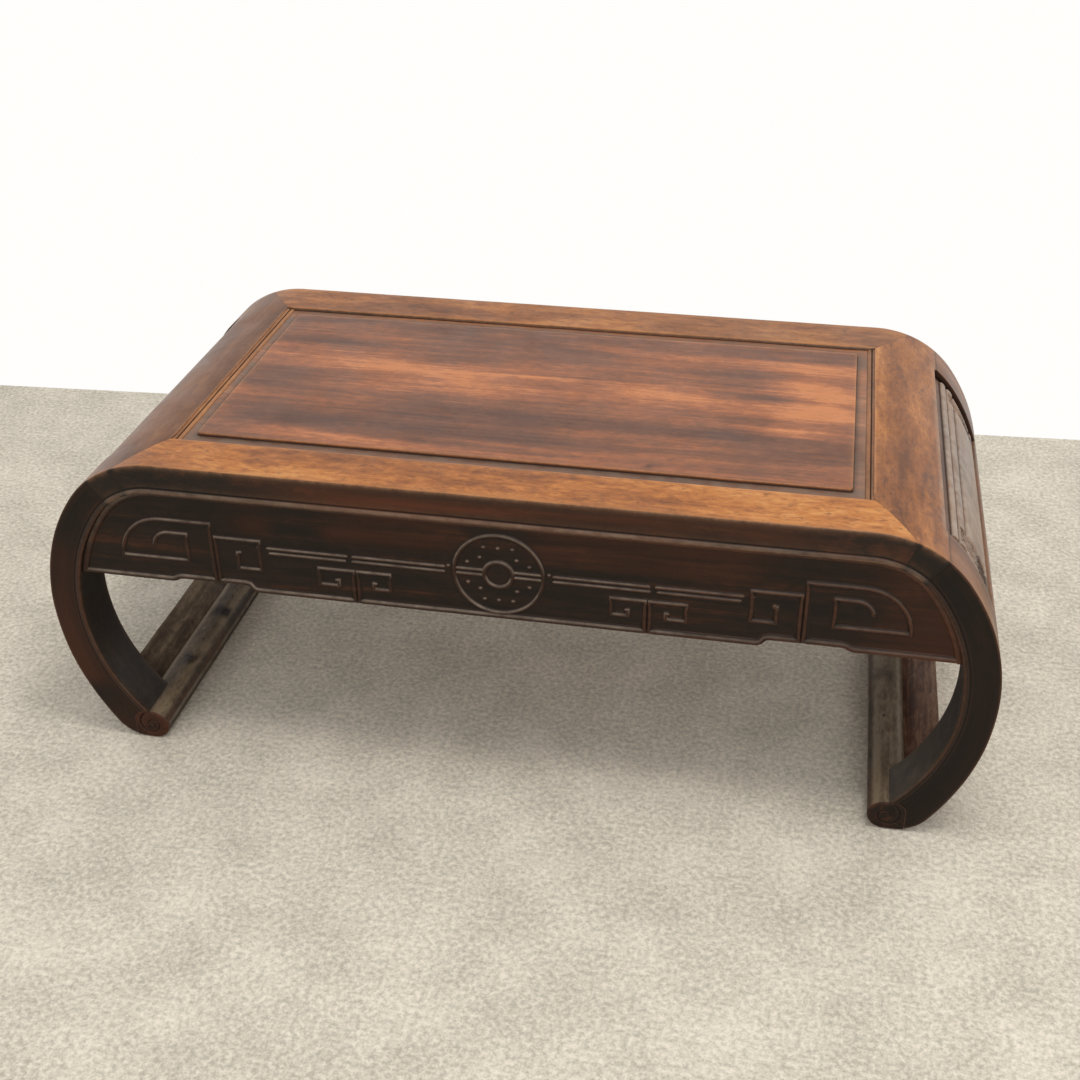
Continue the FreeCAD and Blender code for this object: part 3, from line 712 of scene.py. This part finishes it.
# The moulded strip inside the end rail: a fillet and two soft flats between thin grooves
strip_low, strip_outer_x = underside + 0.4, 306.2
strip_profile = [
    (opening_x, 301.6), (298.0, 301.7), (298.6, 301.7), (299.0, 302.5), (299.6, 302.9), (300.8, 303.2),
    (302.2, 303.2), (302.7, 302.9), (303.0, 302.2), (303.3, 302.2), (303.6, 303.0), (304.2, 303.5),
    (305.2, 303.7), (305.8, 303.8), (strip_outer_x, 304.2), (strip_outer_x, 290.0),
    (strip_outer_x, strip_low), (opening_x, strip_low), (opening_x, 290.0)]


def make_strip(name, side_x, seed):
    it = Piece(name, prism(strip_profile, along(-opening_y - 0.3, opening_y + 0.3, 4)), side_x)
    it.dress("frame_wood", "y", seed, keep=0.4, replaces=False, tint=0.9)


both_ends(make_strip, "end_strip", 5)


# Top panel
def rounded_rectangle(x, y, radius):
    """Points round a rectangle with round corners, the same number for each size."""
    corners = ((1, -1), (1, 1), (-1, 1), (-1, -1))

    def corner_point(k, angle):
        (way_x, way_y), a = corners[k % 4], radians(angle)
        return way_x * (x - radius) + radius * cos(a), way_y * (y - radius) + radius * sin(a)

    ring = []
    for k in range(4):
        ring += [corner_point(k, 90 * (k - 1) + 15 * i) for i in range(7)]
        ring += spread(ring[-1], corner_point(k + 1, 90 * k), 70 if k % 2 else 36)[1:]
    return ring


# Lighter and darker streaks of the panel: middle, half sizes and strength
streaks = [
    (-140, 32, 130, 13, 0.7), (-85, 14, 55, 24, 0.7), (55, 65, 90, 12, 0.9), (-90, -10, 100, 10, 0.5),
    (262, 18, 44, 62, 1.5), (230, 58, 30, 14, 0.8), (276, 40, 16, 10, 0.6), (270, -5, 18, 10, 0.6),
    (230, -45, 30, 10, 0.7), (-195, -125, 110, 10, 0.5), (125, -90, 90, 4, 0.8), (-220, 72, 80, 12, -0.9),
    (-60, -72, 110, 34, -1.0), (-210, -92, 70, 20, -0.9), (215, 20, 30, 8, -0.8), (245, -88, 55, 8, -0.6),
    (-25, 115, 34, 14, -0.7), (130, 10, 90, 22, 0.5), (120, 110, 120, 16, 0.35), (60, -40, 70, 8, 0.5),
    (-230, 110, 60, 10, 0.4), (150, -60, 70, 10, -0.4), (-260, -20, 40, 60, -0.5)]
field_x, field_y, field_top = opening_x - 8.0, opening_y - 13.1, 304.6


def make_panel():
    # Rings from below: past the opening and its corner radius, then past the raised field
    border = [(3, 3, 1, 291.0), (3, 3, 1, 300.0), (2.5, 2.5, 1, 301.8), (1, 1, 1, 302.0), (-3, -5, 2, 301.9)]
    edge = [(1.6, 301.8), (0.5, 301.6), (0.1, 301.7), (-0.1, 302.6), (-0.2, 303.6)]
    edge += [(-0.2 - 0.7 * (1 - cos(a)), field_top - 0.7 * (1 - sin(a)))
             for a in np.radians((15, 40, 65, 90))]
    edge += [(-inset, field_top) for inset in (2.5, *spread(6, 130, 31))]
    levels = [(opening_x + dx, opening_y + dy, r, z) for dx, dy, r, z in border]
    levels += [(field_x + past, field_y + past, 4, z) for past, z in edge]
    levels.append((field_x - 134, field_y - 134, 2, field_top))
    rings = [[(px, py, z) for px, py in rounded_rectangle(x, y, r)] for x, y, r, z in levels]
    it = Piece("top_panel", tube(rings), wobble=0.16)
    outside = np.maximum((it.out - field_x) / 8.0, (it.side - field_y) / 11.0)
    wave = 5 * drift(it.p, 60, 31)
    glow = np.zeros(len(it.p))
    for x, y, dx, dy, strength in streaks:
        glow += strength * np.exp(-((it.x - x) / dx) ** 2 - ((it.y - y + wave) / dy) ** 2)
    knot = np.hypot((it.x - 120) / 6, (it.y + 127) / 4)
    # The sunk border greys where it faces up, partly with dust and partly as a painted sheen
    it.dress("panel_wood", "x", 7, haze=0.6 * ease(outside, 0, 0.08) * (it.z < 302.4) * (it.up > 0.5),
             glow=glow * (it.up > 0.5), stain=0.8 * ease(knot, 1.4, 0.4))


make_panel()


# Legs
def make_leg(name, side_x, side_y, seed):
    stops = np.concatenate([along(seam_distance + seam_gap, 620, 3)[:-1], along(620, last_distance, 0.7)])
    rings = np.array([strip_ring(s, leg_inner_y, 34) for s in stops])
    x, y, z = rings[..., 0], rings[..., 1], rings[..., 2]
    on_foot = ease(-y, face_y - 0.6, face_y - 0.1) * ease(x, 400, 392) * ease(z, 60, 50)
    rings[..., 1] += scroll_cut(x, z) * on_foot
    outer = np.array([side_at(s)[0] for s in stops])
    depth = np.hypot(x - outer[:, None, 0], z - outer[:, None, 1])
    own = np.column_stack([np.repeat(stops, rings.shape[1]), depth.ravel(), y.ravel()]) * MM
    it = Piece(name, tube(rings), side_x, side_y, sharp=35)
    # Greyer low on the inner faces, more on the right legs, and a painted highlight on the bead
    inner_grey = (0.3 if side_x < 0 else 0.8) * ease(it.inward, 0.2, 0.6) * ease(it.z, 130, 40)
    it.dress("leg_wood", "z", seed, own=own, keep=off_joints(it), rub=frame_rub(it), tint=1.0,
             dark=np.maximum(frame_shade(it), ease(it.inward, -0.1, 0.3)),
             haze=np.maximum(inner_grey, painted_bead_highlight(it)))


for row, (name_y, side_y) in enumerate((("front", -1), ("back", 1))):
    for name_x, side_x in (("left", -1), ("right", 1)):
        make_leg(f"leg_{name_y}_{name_x}", side_x, side_y, 10 + 2 * row + side_x)


# Foot bars
def bar_outline():
    """Points round the foot bar, from its low outer corner, and how far each end edge is rounded."""
    roll_radius = bar_height / 2
    roll_x = bar_inner_x + roll_radius
    plain = [(bar_outer_x, z) for z in spread(bar_low, bar_height - bar_round, 26)]
    plain += arc((foot_flat_x, bar_height - bar_round), bar_round, spread(pi / 2, 0, 22))
    rolled = [(x, bar_height) for x in spread(foot_flat_x, roll_x, 12)]
    rolled += arc((roll_x, roll_radius), roll_radius, spread(0, -pi, 70))
    rolled += [(x, 0.0) for x in spread(roll_x, foot_flat_x, 12)]
    rolled += arc(*foot_bend, spread(pi, pi - bar_turn, 16))
    return np.array(plain + rolled), np.repeat((0.0, 1.0), (len(plain), len(rolled)))[:, None]


def make_bar(name, side_x, seed):
    line, rounding = bar_outline()
    for _ in range(4):
        rounding = (np.roll(rounding, 1, 0) + rounding + np.roll(rounding, -1, 0)) / 3
    ahead = np.roll(line, -1, 0) - np.roll(line, 1, 0)
    inward = np.stack([-ahead[:, 1], ahead[:, 0]], 1) / np.hypot(*ahead.T)[:, None]
    r = 2.6 * rounding
    half = []
    for share in np.linspace(0.0, 0.97, 26)[::-1]:
        inner = eye + (line + inward * r - eye) * (1 - share)
        half.append(stand(inner, scroll_cut(*inner.T) - face_y))
    half += [stand(line + inward * r * (1 - cos(a)), (r * (1 - sin(a)))[:, 0] - face_y)
             for a in quarter()[::-1]]
    plain = [stand(line, y) for y in along(-face_y + 6, face_y - 6, 8)]
    back = [ring * (1, -1, 1) for ring in half[::-1]]
    it = Piece(name, tube(half + plain + back), side_x, sharp=45)

    # Dark blotches, painted shade on the roll's lower side, light lines along the top and the roll's crest
    # that are partly wear and partly painted highlight, and the foot's end
    left = side_x < 0
    spots = np.zeros(len(it.p))
    for y in ((-112, -28) if left else (-12,)):
        away = np.hypot(it.out - 345.0, it.y - y)
        spots = np.maximum(spots, ease(10 - away + 4 * drift(it.p, 9, 21), 0, 4))
    roll = ease(it.out, 337, 333) * ease(it.z, 28.5, 25.5)
    lines = 0.8 * np.exp(-((it.out - 339) / 3) ** 2) + 1.2 * np.exp(-((it.out - 359) / 2) ** 2)
    angle = np.arctan2(it.z - bar_height / 2, bar_inner_x + bar_height / 2 - it.out)
    ridge = ease(abs(angle - 0.1), 0.192, 0.072) * ease(it.side, face_y - 3, face_y - 6)
    patches = ease(drift(it.p, 14, 33), -0.7, 0.1)
    it.dress("foot_wood", "y", seed, keep=1 - 0.55 * (not left) * ease(it.side, 196, 200),
             stain=spots * (it.z > 20) * (1.0 if left else 0.5), glow=(it.up > 0.3) * (lines + 0.45),
             dark=np.maximum(ease(it.facing, 0.2, 0.6), 0.8 * roll),
             haze=0.6 * ridge * (it.out < bar_inner_x + 8),
             rub=0.35 * left * ease(it.facing, 0.4, 0.7) * patches)


both_ends(make_bar, "foot_bar", 20)


# Foot boards, between the legs
def make_board(name, side_x, seed):
    under = arc(*foot_bend, pi - np.linspace(bar_turn, radians(foot_angle), 10))
    under += arc(*foot_side, pi - np.radians(np.linspace(foot_angle + 0.5, board_angle - 0.3, 6)))
    tip_x, tip_z = polar(*foot_side, pi - radians(board_angle))
    slope = (tip_z - board_top) / (tip_x - bar_outer_x)
    over = [(tip_x - 0.5, tip_z - 0.45), (tip_x - 1.0, tip_z - 0.6), (tip_x - 2.0, tip_z - 2.0 * slope)]
    over += [(x, board_top + (x - bar_outer_x) * slope) for x in spread(tip_x - 4, bar_outer_x, 9)]
    over += [(bar_outer_x - 0.2, board_top), (bar_outer_x - 0.2, 9.0)]
    form = prism(under + over, along(-between_legs, between_legs, 4))
    it = Piece(name, form, side_x, wobble=0.25)
    tint, glow, shade = (0.85, 0.4, 0.0) if side_x > 0 else (0.1, 0.7, 0.5)
    it.dress("foot_wood", "y", seed, tint=tint, glow=glow, dark=shade * ease(-it.y, 105, 145))


both_ends(make_board, "foot_board", 22)


# Pegs through the foot bars
def make_pegs(name, side_x, seed):
    levels = ((2.9, 22.0), (3.2, 23.0), (3.2, 30.1), (3.0, 30.4), (2.4, 30.5), (1.2, 30.55))
    turns = np.linspace(0, 2 * pi, 28, endpoint=False)
    pegs = [tube([[(peg_x + r * cos(a), y + r * sin(a), z) for a in turns] for r, z in levels])
            for y in peg_places]
    Piece(name, join(pegs), side_x, wobble=0.05).dress("peg_wood", "z", seed)


both_ends(make_pegs, "foot_pegs", 24)


# Rails under the end panels
def make_lower_rail(name, side_x, seed):
    centre, radius = top_side
    low, high = panel_foot_angle + 0.02, lower_rail_angle
    thickness, r = 22, 1.3
    spin = degrees(r / radius)
    bends = [(1 - sin(a), 1 - cos(a)) for a in quarter()]
    # Places round the section, as turn and depth
    places = [(low + spin * u, r * v) for u, v in bends[::-1]]
    places += [(turn, 0) for turn in np.linspace(low + spin, high - spin, 12)]
    places += [(high - spin * u, r * v) for u, v in bends]
    places += [(high, d) for d in np.linspace(r, thickness - r, 6)]
    places += [(high - spin * v, thickness - r * u) for u, v in bends]
    places += [(turn, thickness) for turn in np.linspace(high - spin, low + spin, 8)]
    places += [(low, d) for d in np.linspace(thickness - r, r, 6)]
    profile = [polar(centre, radius - d, radians(turn)) for turn, d in places]
    it = Piece(name, prism(profile, along(-between_legs, between_legs, 5)), side_x)
    it.dress("end_wood", "y", seed, tint=1.0, dark=0.35)


both_ends(make_lower_rail, "lower_end_rail", 26)


# Battens under the panel
def make_batten(name, middle, seed):
    top = 290.9
    corners = ((14.5, top - 18.5, 1.5, 180), (15.5, top - 0.5, 0.5, 90), (-15.5, top - 0.5, 0.5, 0),
               (-14.5, top - 18.5, 1.5, -90))
    profile = []
    for x, z, r, turn in corners:
        profile += arc((middle + x, z), r, np.radians(turn - 22.5 * np.arange(5)))
    Piece(name, prism(profile, along(-opening_y, opening_y, 8))).dress("inner_wood", "y", seed)


for name, middle in batten_places.items():
    make_batten(name, middle, 30 + len(name))

# Sizes of the apron's carving; the tables are shares of its height, and a triple ends a quarter turn
apron_height = underside - apron_bottom
quarter_scroll = [(0, 0.614), (0.47, 0.614), (0.891, 0.193, 0.421), (0.242, 0.193), (0.242, 0.477),
                  (0.415, 0.477), (0.565, 0.327, 0.15)]
square_scroll = [(0, 0.477), (-0.42, 0.477), (-0.42, 0.169), (-0.206, 0.169), (-0.206, 0.33), (-0.235, 0.33)]
outer_arm = [(0, 0.326), (0.317, 0.326), (0.317, 0.156), (0.143, 0.156), (0.143, 0.214), (0.18, 0.214)]
inner_arm = [(0, 0.326), (-0.298, 0.326), (-0.298, 0.156), (-0.15, 0.156), (-0.15, 0.214), (-0.185, 0.214)]
step_z, end_z = 188.1, 184.5
cusps = [(224.0, apron_bottom), (230.0, step_z), (294.05, step_z), (300.05, end_z)]
medallion_z, medallion_radius = 226.2, 40.4
outer_stem_x, inner_stem_x, stem_pitch = 258.0, 128.5, 4.4
line_half, lip_rise, lip_share = 1.6, 2.3, 0.42


def lower_edge(x):
    """Height of the apron's lower edge."""
    return np.interp(np.abs(x), [c[0] for c in cusps], [c[1] for c in cusps])


def sweep(path, profile, closed=False, tips=True, lip=0.0):
    """A raised line along a path on the front, from a profile of points across it and their rise.

    Where the path runs along the apron's lower edge, a lip makes it wider by that share."""
    path, profile = np.asarray(path, float), np.asarray(profile, float)
    half, soft = profile[:, 0].max(), 0.8
    ahead = np.roll(path, -1, 0) - path
    ahead /= np.hypot(*ahead.T)[:, None] + 1e-12
    behind = np.roll(ahead, 1, 0)
    if not closed:
        ahead[-1], behind[0] = behind[-1], ahead[0]
    rings = []

    def ring(place, a, b, shift, scale):
        left_a, left_b = np.array([-a[1], a[0]]), np.array([-b[1], b[0]])
        mitre = (left_a + left_b) / (1 + left_a @ left_b)
        turn = a[0] * b[1] - a[1] * b[0]
        outer = np.clip(-profile[:, 0] * np.sign(turn), 0, None) / half
        way = b if shift > 0 else -a
        u = profile[:, 0, None] * scale * mitre + (abs(shift) * outer + (0.01 if shift else 0))[:, None] * way
        if lip and abs(b[1]) < 0.9 and abs(a[1]) < 0.9:
            above = place[1] - float(lower_edge(place[0])) - lip_rise
            u = u * (1 + lip * float(ease(above, 1.5, 0.5)))
        rise = np.where(profile[:, 1] > 0, profile[:, 1] * scale, profile[:, 1])
        rings.append(stand(place + u, -apron_face_y - rise))

    last = len(path) - 1
    for i, (place, a, b) in enumerate(zip(path, behind, ahead)):
        if tips and not closed and i in (0, last):
            steps = [(0.0, 0.2), (0.2, 0.6), (0.55, 0.88), (1.0, 1.0)]
            for reach, scale in (steps if i == 0 else steps[::-1]):
                ring(place + b * half * reach * (1 if i == 0 else -1), a, b, 0, scale)
        elif a @ b < 0.8:
            ring(place, a, b, -soft, 1)
            ring(place, a, b, soft, 1)
        else:
            ring(place, a, b, 0, 1)
    return tube(rings, closed)


def line_profile(width=2 * line_half, rise=1.6):
    """A round raised line with a low skirt, which the apron darkens for old dirt and painted shade at the
    line's foot.
    """
    half = width / 2
    side = [(half + 1.4, -0.5), (half + 1.4, 0.0), (half + 1.2, 0.2), (half + 0.5, 0.24),
            (half + 0.2, 0.38 * rise), (half - 0.2, 0.66 * rise), (half - 0.6, 0.88 * rise),
            (0.25 * half, rise)]
    return side + [(-u, h) for u, h in side[::-1]]


def shares_path(x, z, shares):
    """Points along a table of shares of the apron's height, from a stem's foot."""
    path = []
    for share in shares:
        point = (x + share[0] * apron_height, z + share[1] * apron_height)
        if len(share) == 3:
            turns = np.linspace(0, pi / 2, 17)[1:]
            path += arc((path[-1][0], point[1]), share[2] * apron_height, turns)
        else:
            path.append(point)
    return path


def inner_outline():
    """Points on the frame's and legs' inner surface, from the middle to the apron's end."""
    last = acos((end_z - widest_height) / inner_side[1])
    points = [(x, underside) for x in along(0, inner_flat_x, 4)]
    points += arc(*inner_bend, np.radians(np.linspace(0, shoulder_angle, 28))[1:])
    return points + arc(*inner_side, np.linspace(radians(shoulder_angle), last, 30)[1:])


def lathe(x, z, rings):
    """A round form on the front, from radii and rises from the outside in."""
    turns = np.linspace(0, 2 * pi, 40 if rings[0][0] > 5 else 20, endpoint=False)
    return tube([stand(np.column_stack([x + r * np.cos(turns), z + r * np.sin(turns)]), -apron_face_y - rise)
                 for r, rise in rings])


def dome(x, z, radius):
    """A small round boss."""
    rise = 1.6
    shares = [(1.0, 0.15), (0.86, 0.52), (0.6, 0.83), (0.3, 0.96), (0.06, 1.0)]
    foot = [(radius + 0.5, -0.5), (radius + 0.5, 0.0)]
    return lathe(x, z, foot + [(u * radius, h * rise) for u, h in shares])


def apron_board(line):
    """The apron's board under a line, down to its lower edge."""
    gap = 0.12
    x, top = line[:, 0] * (1 - gap / half_length), line[:, 1] - gap
    low = lower_edge(x)
    z = low + (np.maximum(top, low + 0.3) - low) * np.linspace(0, 1, 18)[:, None]
    (rows, cols), n = z.shape, z.size
    front = stand(np.column_stack([np.tile(x, rows), z.ravel()]), -apron_face_y)
    index = np.arange(n).reshape(rows, cols)
    rim = np.concatenate([index[0], index[1:, -1], index[-1, -2::-1], index[-2:0:-1, 0]]).tolist()
    faces = grid_faces(rows, cols) + grid_faces(rows, cols, start=n)
    faces += [[a, b, b + n, a + n] for a, b in zip(rim, rim[1:] + rim[:1])]
    return np.concatenate([front, front + (0, apron_thickness, 0)]), faces


def apron_parts():
    """All closed forms of the front apron."""
    right = np.array(inner_outline())
    line = np.concatenate([right[:0:-1] * (-1, 1), right])
    rim = [(0.1, -0.5), (0.1, 1.2), (0.45, 1.6), (3.9, 1.6), (4.6, 1.45), (5.0, 1.0), (5.2, 0.4), (5.8, 0.0),
           (5.8, -0.5)]
    parts = [apron_board(line), sweep(line[::-1], rim, tips=False)]

    # Lips along the lower edge, with the scrolls that rise from their stems
    stem, foot = stem_pitch / 2, line_half
    lip_end = [(389.0, end_z + lip_rise), (301.6, end_z + lip_rise), (298.8, end_z + 3.4),
               (295.6, step_z + 1.6), (291.5, step_z + lip_rise), (outer_stem_x + stem, step_z + lip_rise)]
    lip_middle = [(inner_stem_x + stem, apron_bottom + lip_rise), (222.0, apron_bottom + lip_rise),
                  (225.2, apron_bottom + 3.6), (228.6, step_z + 1.4), (232.5, step_z + lip_rise),
                  (outer_stem_x - stem, step_z + lip_rise)]
    runs = [lip_end + shares_path(outer_stem_x + stem, step_z + foot, quarter_scroll),
            shares_path(inner_stem_x + stem, apron_bottom + foot, outer_arm)[::-1] + lip_middle
            + shares_path(outer_stem_x - stem, step_z + foot, square_scroll)]
    inner_run = [(inner_stem_x - stem, apron_bottom + lip_rise)]
    inner_run += shares_path(inner_stem_x - stem, apron_bottom + foot, inner_arm)
    carved = [(run, line_profile(), lip_share) for run in runs]

    # Pairs of thin lines, one side of each pair a little longer
    for z, more in ((229.2, 1), (224.3, 0)):
        for band in ([(46.5, z), (131.6 - 0.5 * more, z)], [(135.4 - 1.5 * more, z), (207.5 + 2 * more, z)],
                     [(12.0, z + 0.15), (38.8, z + 0.15)]):
            carved.append((band, line_profile(3.0, 1.35), 0.0))
    dots = [(234.4, 222.2, 2.2), (215.6, 229.6, 2.2), (44.0, 230.6, 2.0), (297.6, 187.6, 1.9),
            (226.8, 186.6, 1.9)]
    for x_share, z_share in ((0.31, 0.65), (0.4, 0.39), (0.67, 0.255)):
        dots += [(x_share * medallion_radius, medallion_z + way * z_share * medallion_radius, 2.0)
                 for way in (-1, 1)]
    for side in (1, -1):
        for path, profile, lip in carved:
            parts.append(sweep(finer([(side * x, z) for x, z in path]), profile, lip=lip))
        parts += [dome(side * x, z, r) for x, z, r in dots]
    middle_run = finer(inner_run[::-1] + [(-x, z) for x, z in inner_run])
    parts.append(sweep(middle_run, line_profile(), lip=lip_share))

    # Medallion: two rings and a hub, with a boss above and below
    parts += [dome(0, medallion_z + way * 0.65 * medallion_radius, 2.0) for way in (-1, 1)]
    turns = pi / 2 - np.linspace(0, 2 * pi, 120, endpoint=False)
    for radius, width in ((medallion_radius - 1.4, 3.2), (12.4, 3.6)):
        parts.append(sweep(arc((0, medallion_z), radius, turns), line_profile(width, 1.8), closed=True))
    hub = [(10.2, -0.5), (10.2, 0.0), (9.9, 0.12), (9.4, 0.25), (8.4, 0.35), (6.0, 0.4), (3.0, 0.45),
           (0.3, 0.45)]
    return parts + [lathe(0, medallion_z, hub)]


apron_points, apron_faces = join(apron_parts())
apron_points[:, 2] = np.maximum(apron_points[:, 2], lower_edge(apron_points[:, 0]))


def make_apron(name, side_y, seed):
    it = Piece(name, (apron_points, apron_faces), 1, side_y, sharp=60, wobble=0.1)
    relief = it.side - apron_face_y
    zone = 0.42 * ease(it.x, 240, 380) + 0.4 * ease(it.z, 236, 250) * ease(it.out, 260, 200)
    # Painted highlight on the upward slopes of the carving, fainter to the right; the lines' low skirts
    # darken for old dirt and painted shade
    light = (0.65 - 0.42 * ease(it.x, 40, 260)) * ease(relief, 0.3, 0.7) * ease(it.up, 0, 0.3)
    it.dress("apron_wood", "x", seed, keep=0.45 + 0.55 * ease(it.x, 20, 220), dark=1.0, haze=light,
             rub=0.7 * np.clip(zone, 0, 1) * ease(drift(it.p, 60, 12), -0.6, 0.2),
             stain=0.9 * ease(relief, 0.1, 0.16) * ease(relief, 0.42, 0.3))


make_apron("apron_front", -1, 40)
make_apron("apron_back", 1, 41)

# End panels: carved bands and grooves, as distances down from the flat top, with rise or depth
bands = ((75.9, 83.2, 1.0), (85.8, 95.6, 1.3), (141.8, 149.5, 0.9))
grooves = ((60.0, 76.0), (83.3, 85.6), (95.8, 98.2), (139.8, 141.8), (149.5, 151.5))
groove_depth, band_end, fret_pitch, panel_thickness = 1.8, 147.5, 9.5, 13.0
fret_down, fret_across = (87.5, 139.6), (119.0, 141.5)
field_down, field_across = (98.6, 139.8), (-1, 117.5)


def inside(value, low, high, soft=0.9):
    """One between two limits, with soft edges."""
    return ease((value - low) / soft, -0.5, 0.5) * ease((high - value) / soft, -0.5, 0.5)


def end_depth(s, y):
    """Depth of the end panel's carved face under the outer curve."""
    a = np.abs(y)
    depth = 3.0 + 3.2 * ease((a - 148.2) / 1.6, -0.5, 0.5)
    across = inside(a, -1, band_end)
    for low, high, rise in bands:
        bulge = max(1 - ((s - (low + high) / 2) / ((high - low) / 2)) ** 2, 0)
        depth = depth - rise * sqrt(bulge) * across
    for low, high in grooves:
        depth = depth + groove_depth * inside(s, low, high, 1.2) * across
    fret = inside(s, *fret_down, 1.2) * inside(a, *fret_across, 1.2)
    lattice = np.maximum(*(inside((s + way * a) % fret_pitch, 3.6, 6.0, 1.6) for way in (1, -1)))
    depth = depth * (1 - fret) + (6.4 - 3.6 * lattice) * fret
    field = inside(s, *field_down, 2.0) * inside(a, *field_across, 2.4)
    return depth * (1 - field) + 1.25 * field


def make_end_panel(name, side_x, seed):
    start = seam_distance - flat_x + panel_gap
    end = distance_at(panel_foot_angle) - flat_x - panel_gap
    side = leg_inner_y - panel_gap
    ys = np.concatenate([along(-side, -112, 0.8)[:-1], along(-112, 112, 3.0)[:-1], along(112, side, 0.8)])
    back = np.linspace(side, -side, 18)
    rings = []
    for s in along(start, end, 0.75):
        turn, centre, radius = turn_at(s + flat_x)
        reach = radius - np.concatenate([end_depth(s, ys), np.full(len(back), panel_thickness)])
        plane = np.column_stack(polar(centre, reach, radians(turn)))
        rings.append(stand(plane, np.concatenate([ys, back])))
    it = Piece(name, tube(rings), side_x, sharp=60, wobble=0.1)

    # Depth under the outer curve, and the fret's columns; painted sheen on the shallow upward faces, painted
    # shade in the deep grooves and in the channel beside the legs, and the fret darker
    turn = np.arctan2(it.out - top_bend[0][0], it.z - top_bend[0][1])
    upper, lower = beyond(it, *top_bend), beyond(it, *top_side)
    deep = -np.where(turn < radians(shoulder_angle), upper, lower)
    fret = ease(it.side, 117, 119) * ease(it.side, 142.5, 140.5) * (it.z < 240)
    haze = (1 - fret) * ease(it.side, 148, 146) * ease(it.up, -0.2, 0.3) * ease(deep, 4.2, 3.2)
    it.dress("end_wood", "y", seed, tint=1.0, haze=0.65 * haze, stain=0.9 * ease(deep, 4.0, 5.4),
             dark=np.maximum(np.maximum(0.15, 0.85 * fret), ease(it.side, 147, 150)))


both_ends(make_end_panel, "end_panel", 42)

# Floor
far_left, far_right = (-3.0, 0.3625, 0), (3.0, 0.7495, 0)
floor_mesh = bpy.data.meshes.new("floor")
floor_mesh.from_pydata([(-3.0, -3.5, 0), (3.0, -3.5, 0), far_right, far_left], [], [(0, 1, 2, 3)])
floor = add_object("floor", floor_mesh)
carpet = bpy.data.materials.new("floor")
g = Graph(carpet)
place = g.add("NewGeometry")
pile = g.plus(g.times(g.noise(place, 210.0, 3.0, 0.75), 0.72), g.times(g.noise(place, 14.0, 4.0, 0.6), 0.28))
tone = g.ramp(g.span(pile, 0.38, 0.62), [(196, 189, 174), (250, 241, 225)], (0.0, 1.0))
matt = g.add("BsdfPrincipled", {"Base Color": tone, "Roughness": 0.95, "Specular IOR Level": 0.1})
g.add("OutputMaterial", {"Surface": matt})
floor_mesh.materials.append(carpet)

# World: white where it is seen, softer where it lights the table
soft_light = 0.63
scene = bpy.context.scene
scene.world = bpy.data.worlds.new("world")
g = Graph(scene.world)
rays = g.tree.nodes.new("ShaderNodeLightPath").outputs
seen = g.math("MAXIMUM", rays["Is Camera Ray"], rays["Is Glossy Ray"])
seen = g.math("MAXIMUM", seen, rays["Is Transmission Ray"])
sky = g.add("Background", {"Color": (1.0, 0.99, 0.97, 1), "Strength": g.span(seen, 0.0, 1.0, soft_light)})
g.add("OutputWorld", {"Surface": sky})


def lamp(name, place, size, power, colour):
    """A round lamp that shines at the table."""
    target = Vector((0, 0, 0.1))
    data = bpy.data.lights.new(name, "AREA")
    data.shape, data.size, data.energy, data.color = "DISK", size, power, colour
    obj = add_object(name, data)
    obj.location = place
    obj.rotation_mode = "QUATERNION"
    obj.rotation_quaternion = (target - Vector(place)).to_track_quat("-Z", "Y")


lamp("key", (0.55, -0.4, 2.25), 0.9, 16, (1.0, 0.98, 0.94))
lamp("fill", (0.5, -2.4, 0.9), 1.6, 9, (1.0, 0.97, 0.92))

# Camera, as solved from the photograph
scene.view_settings.view_transform = "Standard"
camera = add_object("camera", bpy.data.cameras.new("camera"))
camera.data.sensor_width = 36.0
camera.data.lens = 48.26
camera.data.clip_start = 0.05
camera.matrix_world = Matrix(((0.98068, -0.09426, 0.17140, 0.2440), (0.19534, 0.51779, -0.83291, -1.2070),
                              (-0.01024, 0.85030, 0.52620, 0.9019), (0, 0, 0, 1)))
scene.camera = camera
